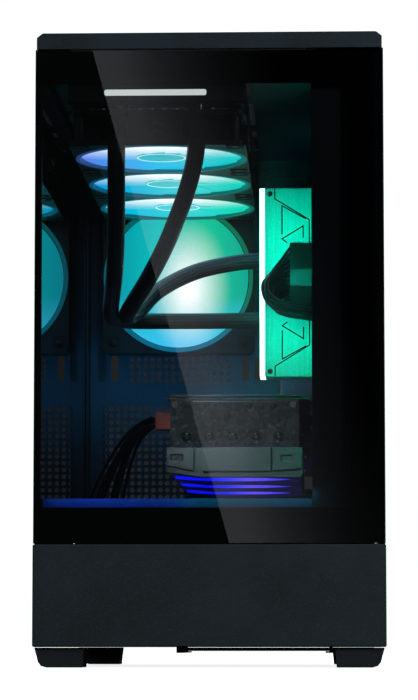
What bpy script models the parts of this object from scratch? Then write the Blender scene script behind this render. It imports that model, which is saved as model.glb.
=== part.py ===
"""Desktop computer tower with a glass front and a glass left side.

Run with: blender --background --python part.py

Sizes are in millimetres and become metres where a mesh is made. A place is given as x, d and z:
x is across, positive to the right of a person who faces the front; d is how far back it lies
from the front glass; z is up from the floor. The frame's origin is on the floor, in the middle
of the tower, and its +Y runs from the front to the back.
"""

from math import cos, pi, radians, sin

import bmesh
import bpy
from mathutils import Matrix, Vector

MM = 0.001

# Driving dimensions of the case.
WIDTH = 232.6
DEPTH = 428.0
HEIGHT = 422.0
SHEET = 1.2  # steel sheet
GAP = 0.3  # clearance between neighbouring pieces
SIDE = 116.0  # outer face of both side panels
FOOT_TOP = 13.0
SPLIT = 81.0  # lower front panel below, glass above
GLASS_TOP = 411.0
GLASS = 4.0  # thickness of both panes
FLOOR = FOOT_TOP + GAP + SHEET  # top of the floor sheet
SHROUD_TOP = 111.2
TRAY_X = 92.1  # face of the motherboard tray
BACK_WALL = 420.3  # inner face of the rear panel
FLANGE = 421.8  # inner face of the side panels' rear flanges
COLUMN_X = 68.0

# Standard computer parts.
FAN = 119.8  # side of a 120 mm fan
FAN_DEEP = 24.9
FAN_BORE = 57.5
FAN_SCREW = 52.5  # half of the 105 mm screw pitch
FAN_PITCH = 120.2
BOARD_X = 84.0  # face of the motherboard
BOARD_FRONT = 174.5
BOARD_BACK = 418.5
BOARD_LOW = 111.8
BOARD_HIGH = 355.8
HOSE_R = 6.1
BLADE_STEPS = 2  # lengths of blade between hub and tip

# Cooling.
RADIATOR_X = -36.0
RADIATOR_HALF = 59.0
RADIATOR_FANS = [86.0 + FAN_PITCH * i for i in range(3)]
RADIATOR_FAN_Z = 349.8
REAR_FAN = (-38.5, 305.0)
FITTINGS = (-62.0, -8.0)  # x of the two hose fittings on the front tank
FITTING_D = 16.7
FITTING_LOW = 366.6
PUMP = (318.0, 281.0)  # d and z of the pump's axis
PUMP_PORT_Z = (258.5, 303.5)
PUMP_PORT_D = 278.0
PUMP_PORT_X = 44.0

# Graphics card.
CARD_FANS = (168.0, 264.0, 360.0)
CARD_FAN_X = 13.5
CARD_FAN_R = 44.0
CARD_LEFT = -34.0
CARD_RIGHT = 61.0
CARD_FRONT = 118.0
CARD_BACK = 417.6

# Power supply.
SUPPLY_X = (-40.0, 110.0)
SUPPLY_D = (280.0, 419.9)
SUPPLY_Z = (FLOOR + GAP, 100.9)
SUPPLY_FAN = (35.0, 348.0)


def at(x, d, z):
    """The point in metres in the object's frame."""
    return Vector((x, d - DEPTH / 2, z)) * MM


def on_axis(axis, u, v, h):
    """x, d, z of a point drawn at u, v across an axis and h along it."""
    return {"x": (h, u, v), "d": (u, h, v), "z": (u, v, h)}[axis]


# Shapes. Each returns a bmesh that holds one or more closed solids.


def block(x, d, z):
    """A box between two limits on each axis."""
    shape = bmesh.new()
    size = Vector((x[1] - x[0], d[1] - d[0], z[1] - z[0])) * MM
    middle = at((x[0] + x[1]) / 2, (d[0] + d[1]) / 2, (z[0] + z[1]) / 2)
    place = Matrix.Translation(middle) @ Matrix.Diagonal(size).to_4x4()
    bmesh.ops.create_cube(shape, size=1, matrix=place)
    return shape


def prism(axis, outline, low, high):
    """A closed outline drawn across an axis and swept from low to high along it."""
    shape = bmesh.new()
    ring = [shape.verts.new(at(*on_axis(axis, u, v, low))) for u, v in outline]
    face = shape.faces.new(ring)
    swept = bmesh.ops.extrude_face_region(shape, geom=[face])
    moved = [item for item in swept["geom"] if isinstance(item, bmesh.types.BMVert)]
    step = at(*on_axis(axis, 0, 0, high)) - at(*on_axis(axis, 0, 0, low))
    bmesh.ops.translate(shape, verts=moved, vec=step)
    bmesh.ops.recalc_face_normals(shape, faces=shape.faces)
    return shape


def arc(centre, radius, start, end, steps):
    """Points on an arc, with its angles in degrees."""
    turns = [radians(start + (end - start) * i / steps) for i in range(steps + 1)]
    return [(centre[0] + radius * cos(t), centre[1] + radius * sin(t)) for t in turns]


def circle(centre, radius, sides):
    return arc(centre, radius, 0, 360, sides)[:-1]


def rounded(u, v, radius, steps=3):
    """The outline of a rectangle with round corners."""
    corners = [(u[1], v[1], 0), (u[0], v[1], 90), (u[0], v[0], 180), (u[1], v[0], 270)]
    points = []
    for corner_u, corner_v, turn in corners:
        side_u = corner_u - radius if turn in (0, 270) else corner_u + radius
        side_v = corner_v - radius if turn in (0, 90) else corner_v + radius
        points += arc((side_u, side_v), radius, turn, turn + 90, steps)
    return points


def rod(axis, centre, radius, low, high, sides=20):
    return prism(axis, circle(centre, radius, sides), low, high)


def together(shapes):
    """Solids that don't touch each other, held in one bmesh."""
    whole = bmesh.new()
    for shape in shapes:
        mesh = bpy.data.meshes.new("part")
        shape.to_mesh(mesh)
        shape.free()
        whole.from_mesh(mesh)
        bpy.data.meshes.remove(mesh)
    return whole


# Objects.


def finish(name, colour, roughness, metallic=0.0, glow=None, clear=0.0):
    """A Principled material."""
    material = bpy.data.materials.new(name)
    material.use_nodes = True
    shader = material.node_tree.nodes["Principled BSDF"]
    shader.inputs["Base Color"].default_value = (*colour, 1.0)
    shader.inputs["Roughness"].default_value = roughness
    shader.inputs["Metallic"].default_value = metallic
    shader.inputs["Transmission Weight"].default_value = clear
    if glow:
        shader.inputs["Emission Color"].default_value = (*glow, 1.0)
        shader.inputs["Emission Strength"].default_value = 2.0
    material.diffuse_color = (*colour, 1.0)
    return material


def add_object(name, shape, material, pivot=None):
    """An object made from a bmesh, with its origin at the pivot when it has one."""
    mesh = bpy.data.meshes.new(name)
    if pivot:
        bmesh.ops.translate(shape, verts=shape.verts, vec=-pivot)
    shape.to_mesh(mesh)
    shape.free()
    mesh.materials.append(material)
    mesh.shade_smooth()
    mesh.set_sharp_from_angle(angle=radians(35))
    obj = bpy.data.objects.new(name, mesh)
    if pivot:
        obj.location = pivot
    bpy.context.collection.objects.link(obj)
    return obj


def combine(obj, shape, operation):
    """Joins a shape to an object or cuts it away, with a hidden helper and a Boolean."""
    name = f"{obj.name}_{operation.lower()}_{len(obj.modifiers)}"
    helper = add_object(name, shape, obj.active_material)
    helper.hide_render = True
    helper.display_type = "WIRE"
    modifier = obj.modifiers.new(operation.title(), "BOOLEAN")
    modifier.object = helper
    modifier.operation = operation
    modifier.solver = "EXACT"


def piece(name, material, shape, add=(), cut=(), edge=0.0, pivot=None):
    """One named piece: a shape, what is joined to it, what is cut from it, and its edge bevel."""
    obj = add_object(name, shape, MATERIALS[material], pivot)
    for extra in add:
        combine(obj, extra, "UNION")
    for tool in cut:
        combine(obj, tool, "DIFFERENCE")
    if edge:
        bevel = obj.modifiers.new("Edges", "BEVEL")
        bevel.width = edge * MM
        bevel.segments = 1
        bevel.limit_method = "ANGLE"
        bevel.angle_limit = radians(50)
        bevel.use_clamp_overlap = True
    return obj


def smooth_route(points, count):
    """Evenly timed points on a smooth curve that passes through the given ones."""
    ends = [points[0] * 2 - points[1], *points, points[-1] * 2 - points[-2]]
    route = []
    spans = len(points) - 1
    for i in range(count + 1):
        along = spans * i / count
        k = min(int(along), spans - 1)
        t = along - k
        a, b, c, e = ends[k:k + 4]
        route.append(0.5 * (2 * b + (c - a) * t + (2 * a - 5 * b + 4 * c - e) * t ** 2
                            + (3 * b - a - 3 * c + e) * t ** 3))
    return route


def tube(name, material, points, radius, count, detail=2):
    """A hose or cable: a bevelled curve along a smooth route, straight at both ends."""
    data = bpy.data.curves.new(name, "CURVE")
    data.dimensions = "3D"
    data.bevel_depth = radius * MM
    data.bevel_resolution = detail
    data.use_fill_caps = True
    knots = [at(*p) for p in points]
    route = [knots[0], *smooth_route(knots[1:-1], count), knots[-1]]
    spline = data.splines.new("POLY")
    spline.points.add(len(route) - 1)
    for knot, place in zip(spline.points, route):
        knot.co = (*place, 1.0)
    data.materials.append(MATERIALS[material])
    obj = bpy.data.objects.new(name, data)
    bpy.context.collection.objects.link(obj)
    return obj


# The case.


def make_feet():
    """Four wide feet with rounded outer corners."""
    profile = [(115, FOOT_TOP), (82.5, FOOT_TOP), (83.8, 0), (107, 0), (110.5, 1), (112.6, 3.6)]
    for side, name in ((-1, "left"), (1, "right")):
        outline = [(side * u, v) for u, v in profile]
        piece(f"foot_front_{name}", "foot", prism("d", outline, 3, 45))
        piece(f"foot_rear_{name}", "foot", prism("d", outline, 375, 417))


def make_base_pan():
    """The floor sheet, its left wall, its fan vent and the rails that carry the dust filter."""
    left_wall = block((-SIDE, -SIDE + SHEET), (19.5, 420), (FOOT_TOP + GAP, SPLIT - GAP))
    right_lip = block((112, 112 + SHEET), (22, 420), (FOOT_TOP + GAP, 26))
    rail = [(-33.5, FLOOR - 0.5), (-33.5, 9), (-28.5, 9), (-28.5, 10), (-31.4, 10), (-31.4, FLOOR - 0.5)]
    rails = [prism("d", rail, 262, 417)]
    rails.append(prism("d", [(48.7 - u, v) for u, v in rail], 262, 417))
    slots = [block((-26, 75), (290 + 17 * i, 301 + 17 * i), (10, 20)) for i in range(7)]
    floor = block((-SIDE + 0.5, 112.6), (19.5, 420), (FOOT_TOP + GAP, FLOOR))
    piece("base_pan", "steel_black", floor, [left_wall, right_lip, together(rails)], [together(slots)])


def make_rear_panel():
    """The rear sheet with its openings for the supply, ports, cards and fan, and its vents."""
    wall = block((-109.9, 113.4), (BACK_WALL, BACK_WALL + SHEET), (FLOOR + GAP, 410.6))
    through = (BACK_WALL - 2, BACK_WALL + 4)
    supply = block((-37, 107), through, (18, 98))
    ports = block((41.2, 85.8), through, (192.6, 351.4))
    fan_x, fan_z = REAR_FAN
    quarters = []
    for turn in (45, 135, 225, 315):
        edge = arc((fan_x, fan_z), 55, turn - 40, turn + 40, 8)
        edge += arc((fan_x, fan_z), 14, turn + 30, turn - 30, 3)
        quarters.append(prism("d", edge, *through))
    cards = [block((-20, 80), through, (118 + 20.3 * i, 134 + 20.3 * i)) for i in range(3)]
    vents = [prism("d", rounded((-100, -46), (120 + 11 * i, 124 + 11 * i), 1.9, 1), *through) for i in range(8)]
    vents.append(prism("d", rounded((-76, -2), (226, 241), 3), *through))
    slots = [(-103.5, -98.1, 224, 254), (-93.2, -87.7, 224, 246), (11.2, 16.9, 225, 243)]
    slots.append((21.7, 27.3, 225, 243))
    vents += [prism("d", rounded((a, b), (c, e), 2.6), *through) for a, b, c, e in slots]
    screws = [rod("d", place, 2.3, *through, sides=10) for place in ((108, 140), (-104.5, 380))]
    cuts = [together([supply, ports, *quarters, *cards]), together(vents + screws)]
    piece("rear_panel", "steel_black", wall, cut=cuts)


def make_tray():
    """The upright sheet that carries the motherboard, with its cable openings."""
    low, step = FLOOR + GAP, 104
    outline = [(22, low), (256, low), (256, step), (420, step), (420, 402), (22, 402)]
    sheet = prism("x", outline, TRAY_X, TRAY_X + SHEET)
    through = (TRAY_X - 3, TRAY_X + 4)
    holes = [((282, 354), (240, 322)), ((131, 169), (222, 276)), ((180, 250), (24, 98)), ((330, 400), (372, 392))]
    cuts = [prism("x", rounded(d, z, 5, 2), *through) for d, z in holes]
    piece("motherboard_tray", "steel_black", sheet, cut=[together(cuts)])


def make_top_frame():
    """The steel roof: a plate with the radiator's opening and a wall round its edge."""
    x, d, z = (-111.4, 114.2), (6.2, 420), (402.3, 410.7)
    hollow = block((x[0] + SHEET, x[1] - SHEET), (d[0] + SHEET, d[1] - SHEET), (z[0] + SHEET, 420))
    opening = block((-88, 16), (32, 384), (395, 420))
    slots = [prism("z", rounded((u, u + 4), (40 + 120 * i, 130 + 120 * i), 1.9), 395, 420)
             for i in range(3) for u in (-98, 22)]
    piece("top_frame", "steel_black", block(x, d, z), cut=[hollow, together([opening, *slots])])


def make_front_frame():
    """The front sheet below the glass, and the folded column and side strip behind the glass's right edge."""
    sheet = block((-111.6, 112.6), (19.4, 20.6), (FLOOR + GAP, 104.6))
    vents = [prism("d", rounded((-90 + 26 * i, -70 + 26 * i), (30, 88), 4, 2), 15, 25) for i in range(6)]
    piece("front_frame", "steel_black", sheet, cut=[together(vents)])
    inner, weld = COLUMN_X + SHEET, SIDE - SHEET / 2
    column = [(COLUMN_X, 12), (weld, 12), (weld, 13.2), (inner, 13.2), (inner, 70), (COLUMN_X, 70)]
    strip = block((SIDE - SHEET, SIDE), (GLASS + 0.6, 19.3), (SPLIT + GAP, 402))
    piece("front_column", "steel_black", prism("z", column, 104.9, 402), [strip])


def make_shroud():
    """The cover over the power supply: a top with a front lip, a left wall and openings."""
    notch = 70.3
    plan = [(-111, 12), (COLUMN_X - GAP, 12), (COLUMN_X - GAP, notch), (TRAY_X - 2, notch)]
    plan += [(TRAY_X - 2, 419.8), (-111, 419.8)]
    lip = block((-111, COLUMN_X - GAP), (12, 13.2), (105.4, SHROUD_TOP))
    wall = block((-111, -109.8), (22, 419.8), (FLOOR + GAP, SHROUD_TOP))
    slot = prism("z", rounded((-100, -66), (184, 240), 6), 100, 120)
    vents = [prism("z", rounded((-40, 50), (140 + 22 * i, 150 + 22 * i), 4.9, 2), 100, 120) for i in range(12)]
    piece("psu_shroud", "steel_black", prism("z", plan, 110, SHROUD_TOP), [lip, wall], [together([slot, *vents])])


def make_shell():
    """The panels that a person sees and takes off."""
    half = WIDTH / 2
    lower = block((-half, half), (0, 19), (FOOT_TOP + 0.4, SPLIT - GAP))
    hollow = block((3 - half, half - 3), (3, 25), (FOOT_TOP + 3.4, SPLIT - GAP - 3))
    piece("lower_front_panel", "panel_grey", lower, cut=[hollow], edge=0.8)
    piece("front_glass", "glass", block((-SIDE, SIDE), (0, GLASS), (SPLIT, GLASS_TOP)), edge=0.5)
    side = block((-SIDE, GLASS - SIDE), (GLASS + GAP, 421.4), (SPLIT, GLASS_TOP))
    piece("side_glass", "glass", side, edge=0.5)
    rail = [(-111.6, 398), (-110.4, 398), (-110.4, FLANGE), (-98, FLANGE), (-98, FLANGE + SHEET)]
    rail += [(-SIDE, FLANGE + SHEET), (-SIDE, FLANGE), (-111.6, FLANGE)]
    screw_hole = rod("d", (-104.5, 380), 2.3, 418, 430, sides=10)
    piece("glass_rail", "steel_black", prism("z", rail, 113, 400), cut=[screw_hole])
    flange = block((100, SIDE), (FLANGE, FLANGE + SHEET), (30, 400))
    screw_hole = rod("d", (108, 140), 2.3, 418, 430, sides=10)
    sheet = block((SIDE - SHEET, SIDE), (19.6, FLANGE + SHEET), (13.6, GLASS_TOP - 0.1))
    piece("right_side_panel", "steel_black", sheet, [flange], [screw_hole])
    for name, (x, z) in (("glass_thumbscrew", (-104.5, 380)), ("panel_thumbscrew", (108, 140))):
        head = rod("d", (x, z), 6, FLANGE + SHEET + GAP, DEPTH, sides=18)
        shaft = rod("d", (x, z), 1.8, 412, FLANGE + SHEET + 1, sides=10)
        piece(name, "screw_steel", head, [shaft])


BUTTONS = {"power_button": (93.0, 22.0, 6.2), "light_button": (93.0, 42.0, 3.6)}
PORTS_X = 93.0
USB_D = (66.0, 84.0)
JACK_D = (102.0, 115.0)


def make_top():
    """The roof cap, its lift-off dust filter, the two buttons and the strip of ports."""
    low = GLASS_TOP + GAP
    edge = [(115.2, low), (115.2, 418.9), (111.9, HEIGHT - 0.4), (111.0, HEIGHT)]
    outline = edge + [(-u, v) for u, v in reversed(edge)]
    skin = 419.0
    hollow = block((-112, 112), (3, 418.5), (400, skin))
    window = prism("z", rounded((-100, 70), (14, 408), 6), 400, 430)
    ports = [block((PORTS_X - 3, PORTS_X + 3), (d - 7, d + 7), (410, 430)) for d in USB_D]
    ports += [rod("z", (PORTS_X, d), 2.6, 410, 430, sides=12) for d in JACK_D]
    holes = [rod("z", (x, d), r + 0.3, 410, 430, sides=24) for x, d, r in BUTTONS.values()]
    cap = prism("d", outline, 0, 421.5)
    piece("top_cap", "cap_grey", cap, cut=[hollow, together([window, *ports, *holes])])
    panel = prism("z", rounded((-99.7, 69.7), (14.3, 407.7), 6), 419.2, 421.7)
    windows = [block((-95.7 + 55 * i, -42.7 + 55 * i), (18.5 + 64.5 * k, 79.5 + 64.5 * k), (415, 425))
               for i in range(3) for k in range(6)]
    piece("top_dust_filter", "mesh_black", panel, cut=[together(windows)])
    for name, (x, d, radius) in BUTTONS.items():
        cap = rod("z", (x, d), radius, 416.5, 421.8, sides=24)
        rim = rod("z", (x, d), radius + 1.2, 414.7, 417.2, sides=24)
        piece(name, "button_black", cap, [rim], pivot=at(x, d, 416.5))
    strip = block((84, 102), (54, 124), (403.8, 418.7))
    sockets = [block((PORTS_X - 2.6, PORTS_X + 2.6), (d - 6.5, d + 6.5), (406, 430)) for d in USB_D]
    tongues = [block((PORTS_X - 1.9, PORTS_X - 0.1), (d - 5.6, d + 5.6), (405, 418.2)) for d in USB_D]
    jacks = [rod("z", (PORTS_X, d), 1.9, 405, 430, sides=10) for d in JACK_D]
    strip_object = piece("port_strip", "connector_black", strip, cut=[together(sockets + jacks)])
    combine(strip_object, together(tongues), "UNION")


# The cooling.


def square(axis, centre, low, high):
    u, v = centre
    half = FAN / 2
    return prism(axis, rounded((u - half, u + half), (v - half, v + half), 4, 1), low, high)


def fan_frame(name, axis, centre, low, strut):
    """A square fan housing: a bore, corner screw holes, and a motor seat held by four struts."""
    u, v = centre
    high = low + FAN_DEEP
    bore = rod(axis, centre, FAN_BORE, low - 5, high + 5, sides=32)
    holes = [rod(axis, (u + a * FAN_SCREW, v + b * FAN_SCREW), 2.2, low - 5, high + 5, sides=8)
             for a in (-1, 1) for b in (-1, 1)]
    seat = rod(axis, centre, 20, strut, strut + 3, sides=20)
    reach = FAN_BORE + 1.5
    bars = [((u - reach, u + reach), (v - 1.5, v + 1.5)), ((u - 1.5, u + 1.5), (v - reach, v + reach))]
    housing = piece(name, "fan_black", square(axis, centre, low, high), cut=[together([bore, *holes])])
    combine(housing, seat, "UNION")
    for along_u, along_v in bars:
        outline = [(along_u[0], along_v[0]), (along_u[1], along_v[0]), (along_u[1], along_v[1])]
        outline.append((along_u[0], along_v[1]))
        combine(housing, prism(axis, outline, strut + 0.4, strut + 2.6), "UNION")


def blade(axis, centre, start, root, tip, low, high, chord):
    """One fan blade: a thin twisted slab from inside the hub to its tip."""
    shape = bmesh.new()
    rings = []
    for step in range(BLADE_STEPS + 1):
        share = step / BLADE_STEPS
        radius = root + (tip - root) * share
        lead = start + 0.30 * share
        trail = lead + chord * (1 - 0.22 * share)
        rise = (high - low) * (0.86 - 0.30 * share)
        edges = ((lead, low), (trail, low + rise), (trail, low + rise + 1.6), (lead, low + 1.6))
        points = [on_axis(axis, centre[0] + radius * cos(t), centre[1] + radius * sin(t), h) for t, h in edges]
        rings.append([shape.verts.new(at(*p)) for p in points])
    for inner, outer in zip(rings, rings[1:]):
        for i in range(4):
            k = (i + 1) % 4
            shape.faces.new((inner[i], inner[k], outer[k], outer[i]))
    shape.faces.new(rings[0])
    shape.faces.new(rings[-1])
    bmesh.ops.recalc_face_normals(shape, faces=shape.faces)
    return shape


def fan_rotor(name, axis, centre, hub, tip, low, high, count, material="blade_teal"):
    """A hub with its blades, free to turn about the fan's axis."""
    chord = 2 * pi / count * 0.80
    blades = [blade(axis, centre, 2 * pi * i / count, hub - 1.5, tip, low + 0.8, high - 2.6, chord)
              for i in range(count)]
    body = rod(axis, centre, hub, low, high, sides=24)
    piece(name, material, body, [together(blades)], pivot=at(*on_axis(axis, *centre, low)))


def make_cooling():
    """Radiator with its three fans, the rear fan, the pump block and the two hoses."""
    left, right = RADIATOR_X - RADIATOR_HALF, RADIATOR_X + RADIATOR_HALF
    side = [(7.5, 375.2), (27, 375.2), (27, 377), (387, 377), (387, 375.2), (404.5, 375.2)]
    side += [(404.5, 402), (387, 402), (387, 400), (27, 400), (27, 402), (7.5, 402)]
    barbs = [rod("z", (x, FITTING_D), 7, FITTING_LOW, 377) for x in FITTINGS]
    piece("radiator", "radiator_black", prism("x", side, left, right), [together(barbs)])
    for number, d in enumerate(RADIATOR_FANS, 1):
        centre = (RADIATOR_X, d)
        low = RADIATOR_FAN_Z
        fan_frame(f"radiator_fan_frame_{number}", "z", centre, low, low + FAN_DEEP - 3)
        fan_rotor(f"radiator_fan_rotor_{number}", "z", centre, 19, 55.8, low + 1.2, low + 21, 9)
    low = BACK_WALL - GAP - FAN_DEEP
    fan_frame("rear_fan_frame", "d", REAR_FAN, low, low + FAN_DEEP - 3)
    fan_rotor("rear_fan_rotor", "d", REAR_FAN, 19, 55.8, low + 1.2, low + 21, 9)
    pump_body = rod("x", PUMP, 32, 46, 79.8, sides=32)
    bracket = block((74, 76.4), (PUMP[0] - 41, PUMP[0] + 41), (PUMP[1] - 41, PUMP[1] + 41))
    ports = [rod("d", (58, z), 5.4, PUMP_PORT_D, 300, sides=14) for z in PUMP_PORT_Z]
    elbows = [rod("x", (PUMP_PORT_D, z), 7, PUMP_PORT_X, 66, sides=16) for z in PUMP_PORT_Z]
    piece("pump_block", "pump_black", pump_body, [bracket, together(ports), together(elbows)])
    tube("hose_left", "hose_black", HOSE_LEFT, HOSE_R, 32)
    tube("hose_right", "hose_black", HOSE_RIGHT, HOSE_R, 32)


HOSE_END = PUMP_PORT_X - GAP
HOSE_LEFT = [
    (FITTINGS[0], FITTING_D, FITTING_LOW - GAP), (-62, 16.7, 360), (-62.8, 17.8, 347), (-63.2, 23, 331),
    (-64, 36, 312), (-66, 62, 288), (-69.5, 98, 270), (-74, 140, 260), (-77.5, 185, 255.5),
    (-77.5, 225, 254.6), (-68.5, 256, 255.8), (-46, 276, 257.6), (-8, 284, 258.4), (26, 281, 258.5),
    (37, PUMP_PORT_D, 258.5), (HOSE_END, PUMP_PORT_D, 258.5),
]
HOSE_RIGHT = [
    (FITTINGS[1], FITTING_D, FITTING_LOW - GAP), (-8, 16.7, 360), (-9.2, 18.2, 347), (-12, 25, 333),
    (-19, 45, 315), (-32, 76, 290), (-46, 108, 270), (-57, 136, 258), (-64, 164, 252),
    (-65.5, 194, 252), (-60, 226, 260), (-46, 257, 279), (-20, 277, 295), (12, 282, 302.5),
    (36, PUMP_PORT_D, 303.5), (HOSE_END, PUMP_PORT_D, 303.5),
]


# The electronics.

MEMORY_SLOTS = [190.0 + 9.6 * i for i in range(4)]
MEMORY_Z = (207.4, 344.7)


def make_motherboard():
    """The main board with its sockets, and the pieces that stand on it."""
    board = block((BOARD_X, BOARD_X + 1.6), (BOARD_FRONT, BOARD_BACK), (BOARD_LOW, BOARD_HIGH))
    slots = [block((77.9, BOARD_X + 0.5), (d - 3.2, d + 3.2), (205.5, 346.6)) for d in MEMORY_SLOTS]
    card_slot = block((73.5, BOARD_X + 0.5), (286, 376), (182.6, 190.2))
    small_slot = block((73.5, BOARD_X + 0.5), (350, 376), (125, 132))
    ports = block((49, BOARD_X + 0.5), (396, BOARD_BACK), (204, 346))
    header = block((71.4, BOARD_X + 0.5), (175.6, 186), (252, 304))
    posts = [rod("x", (d, z), 2.5, BOARD_X + 1, TRAY_X - GAP, sides=8)
             for d in (182, 300, 412) for z in (118, 236, 350)]
    grooves = [block((76, 82.6), (d - 0.9, d + 0.9), (206.8, 345.3)) for d in MEMORY_SLOTS]
    grooves.append(block((70, 82), (288, 374), (185.2, 187.6)))
    add = [together([*slots, card_slot, small_slot, ports, header, *posts])]
    piece("motherboard", "board_black", board, add, [together(grooves)])
    shield = block((41.6, 85.4), (BOARD_BACK + 0.4, BACK_WALL + 0.9), (193, 351))
    sockets = [block((52, 66), (410, 430), (215 + 22 * i, 229 + 22 * i)) for i in range(6)]
    piece("io_shield", "steel_bright", shield, cut=[together(sockets)])
    cover = [(44, 370), (83.7, 370), (83.7, 373), (47, 373), (47, 417.8), (44, 417.8)]
    piece("io_cover", "heatsink_grey", prism("z", cover, 205, 349))
    sink = block((60, 83.6), (262, 360), (324, 348))
    grooves = [block((55, 77), (266 + 8 * i, 270 + 8 * i), (320, 352)) for i in range(12)]
    piece("vrm_heatsink", "heatsink_grey", sink, cut=[together(grooves)])
    piece("cpu", "steel_bright", block((80.2, 83.7), (299, 337), (262, 300)), edge=0.6)
    for number, d in ((1, MEMORY_SLOTS[0]), (2, MEMORY_SLOTS[2])):
        spreader = block((30, 76.5), (d - 3.5, d + 3.5), MEMORY_Z)
        fingers = block((70, 82.2), (d - 0.6, d + 0.6), (MEMORY_Z[0] + 1.5, MEMORY_Z[1] - 1.5))
        piece(f"ram_{number}", "ram_metal", spreader, [fingers])
    plug = block((54, 71.1), (175.8, 185.8), (252.4, 303.6))
    latch = block((52, 66), (173.9, 176), (272, 284))
    piece("atx_plug", "connector_black", plug, [latch])
    tube("atx_cable", "cable_black", ATX_CABLE, 5.6, 34)


ATX_CABLE = [
    (53.7, 180.8, 288), (48, 180.8, 288), (39.5, 172, 281), (37, 160, 268), (42, 152, 257), (54, 148, 250.5),
    (72, 147, 249), (90, 148, 246), (101, 150, 232), (104, 151, 205), (104, 152, 160), (104, 158, 118),
    (102, 176, 86), (93, 202, 66), (80, 232, 57), (65, 258, 55), (61, 272, 55), (61, 279.6, 55),
]


def make_graphics_card():
    """The graphics card: board, backplate, fin block, fan shroud, brackets and three rotors."""
    board = block((-33, 66), (CARD_FRONT + 1.8, CARD_BACK), (185.6, 187.2))
    fingers = block((60, 81.6), (290, 372), (185.6, 187.2))
    piece("gpu_board", "board_black", board, [fingers])
    piece("gpu_backplate", "backplate_black", block((-33, 62), (CARD_FRONT, CARD_BACK), (187.6, 189)), edge=0.4)
    block_low = 152.3
    sink = block((-31, 58), (CARD_FRONT + 2, CARD_BACK - 4), (block_low, 185.2))
    slots = [block((-40, 70), (130 + 24 * i, 133 + 24 * i), (168, 180)) for i in range(12)]
    posts = [rod("z", (CARD_FAN_X, d), 15, 146, 153, sides=20) for d in CARD_FANS]
    plug_seat = block((-40, -28), (151, 178), (164, 182))
    piece("gpu_heatsink", "fin_aluminium", sink, [together(posts)], [together(slots), plug_seat])
    low = 131.0
    outline = [(CARD_LEFT, 151.9), (CARD_RIGHT, 151.9), (CARD_RIGHT, low), (-10, low), (CARD_LEFT, low + 4)]
    bores = [rod("z", (CARD_FAN_X, d), 45.2, 120, 160, sides=32) for d in CARD_FANS]
    shroud = prism("d", outline, CARD_FRONT - 2, CARD_BACK - 5)
    piece("gpu_shroud", "shroud_grey", shroud, cut=[together(bores)])
    for number, d in enumerate(CARD_FANS, 1):
        centre = (CARD_FAN_X, d)
        fan_rotor(f"gpu_fan_rotor_{number}", "z", centre, 17, CARD_FAN_R, 133, 145.7, 9, "blade_violet")
    plate = prism("d", [(-31.5, 152.3), (58.7, 152.3), (58.7, 184.4), (57, 185.2), (-30, 185.2), (-31.5, 184)],
                  CARD_FRONT - 1.2, CARD_FRONT)
    slots = [block((-20, -15), (110, 122), (167, 180)), block((45, 51), (110, 122), (172, 182))]
    piece("gpu_end_bracket", "galvanised", plate, cut=[together(slots)])
    bracket = block((-21.5, 83), (BOARD_BACK + 0.2, BOARD_BACK + 1.2), (148, 190))
    sockets = [block((-10 + 26 * i, 8 + 26 * i), (410, 430), (171, 178)) for i in range(3)]
    piece("gpu_slot_bracket", "steel_bright", bracket, cut=[together(sockets)])
    plug = block((-43.6, -33.4), (155, 175), (167.4, 179.2))
    piece("gpu_power_plug", "plug_red", plug, edge=0.6)
    tube("gpu_power_cable", "cable_black", CARD_CABLE, 4.4, 26)


CARD_CABLE = [
    (-43.9, 165, 173.4), (-49, 165, 173.4), (-58, 167, 167), (-67, 173, 155), (-76, 184, 139), (-83, 197, 124),
    (-86.5, 207, 111), (-87, 213, 98), (-82, 224, 80), (-68, 242, 62), (-44, 260, 50), (-20, 272, 45),
    (-20, 279.4, 45),
]


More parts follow.
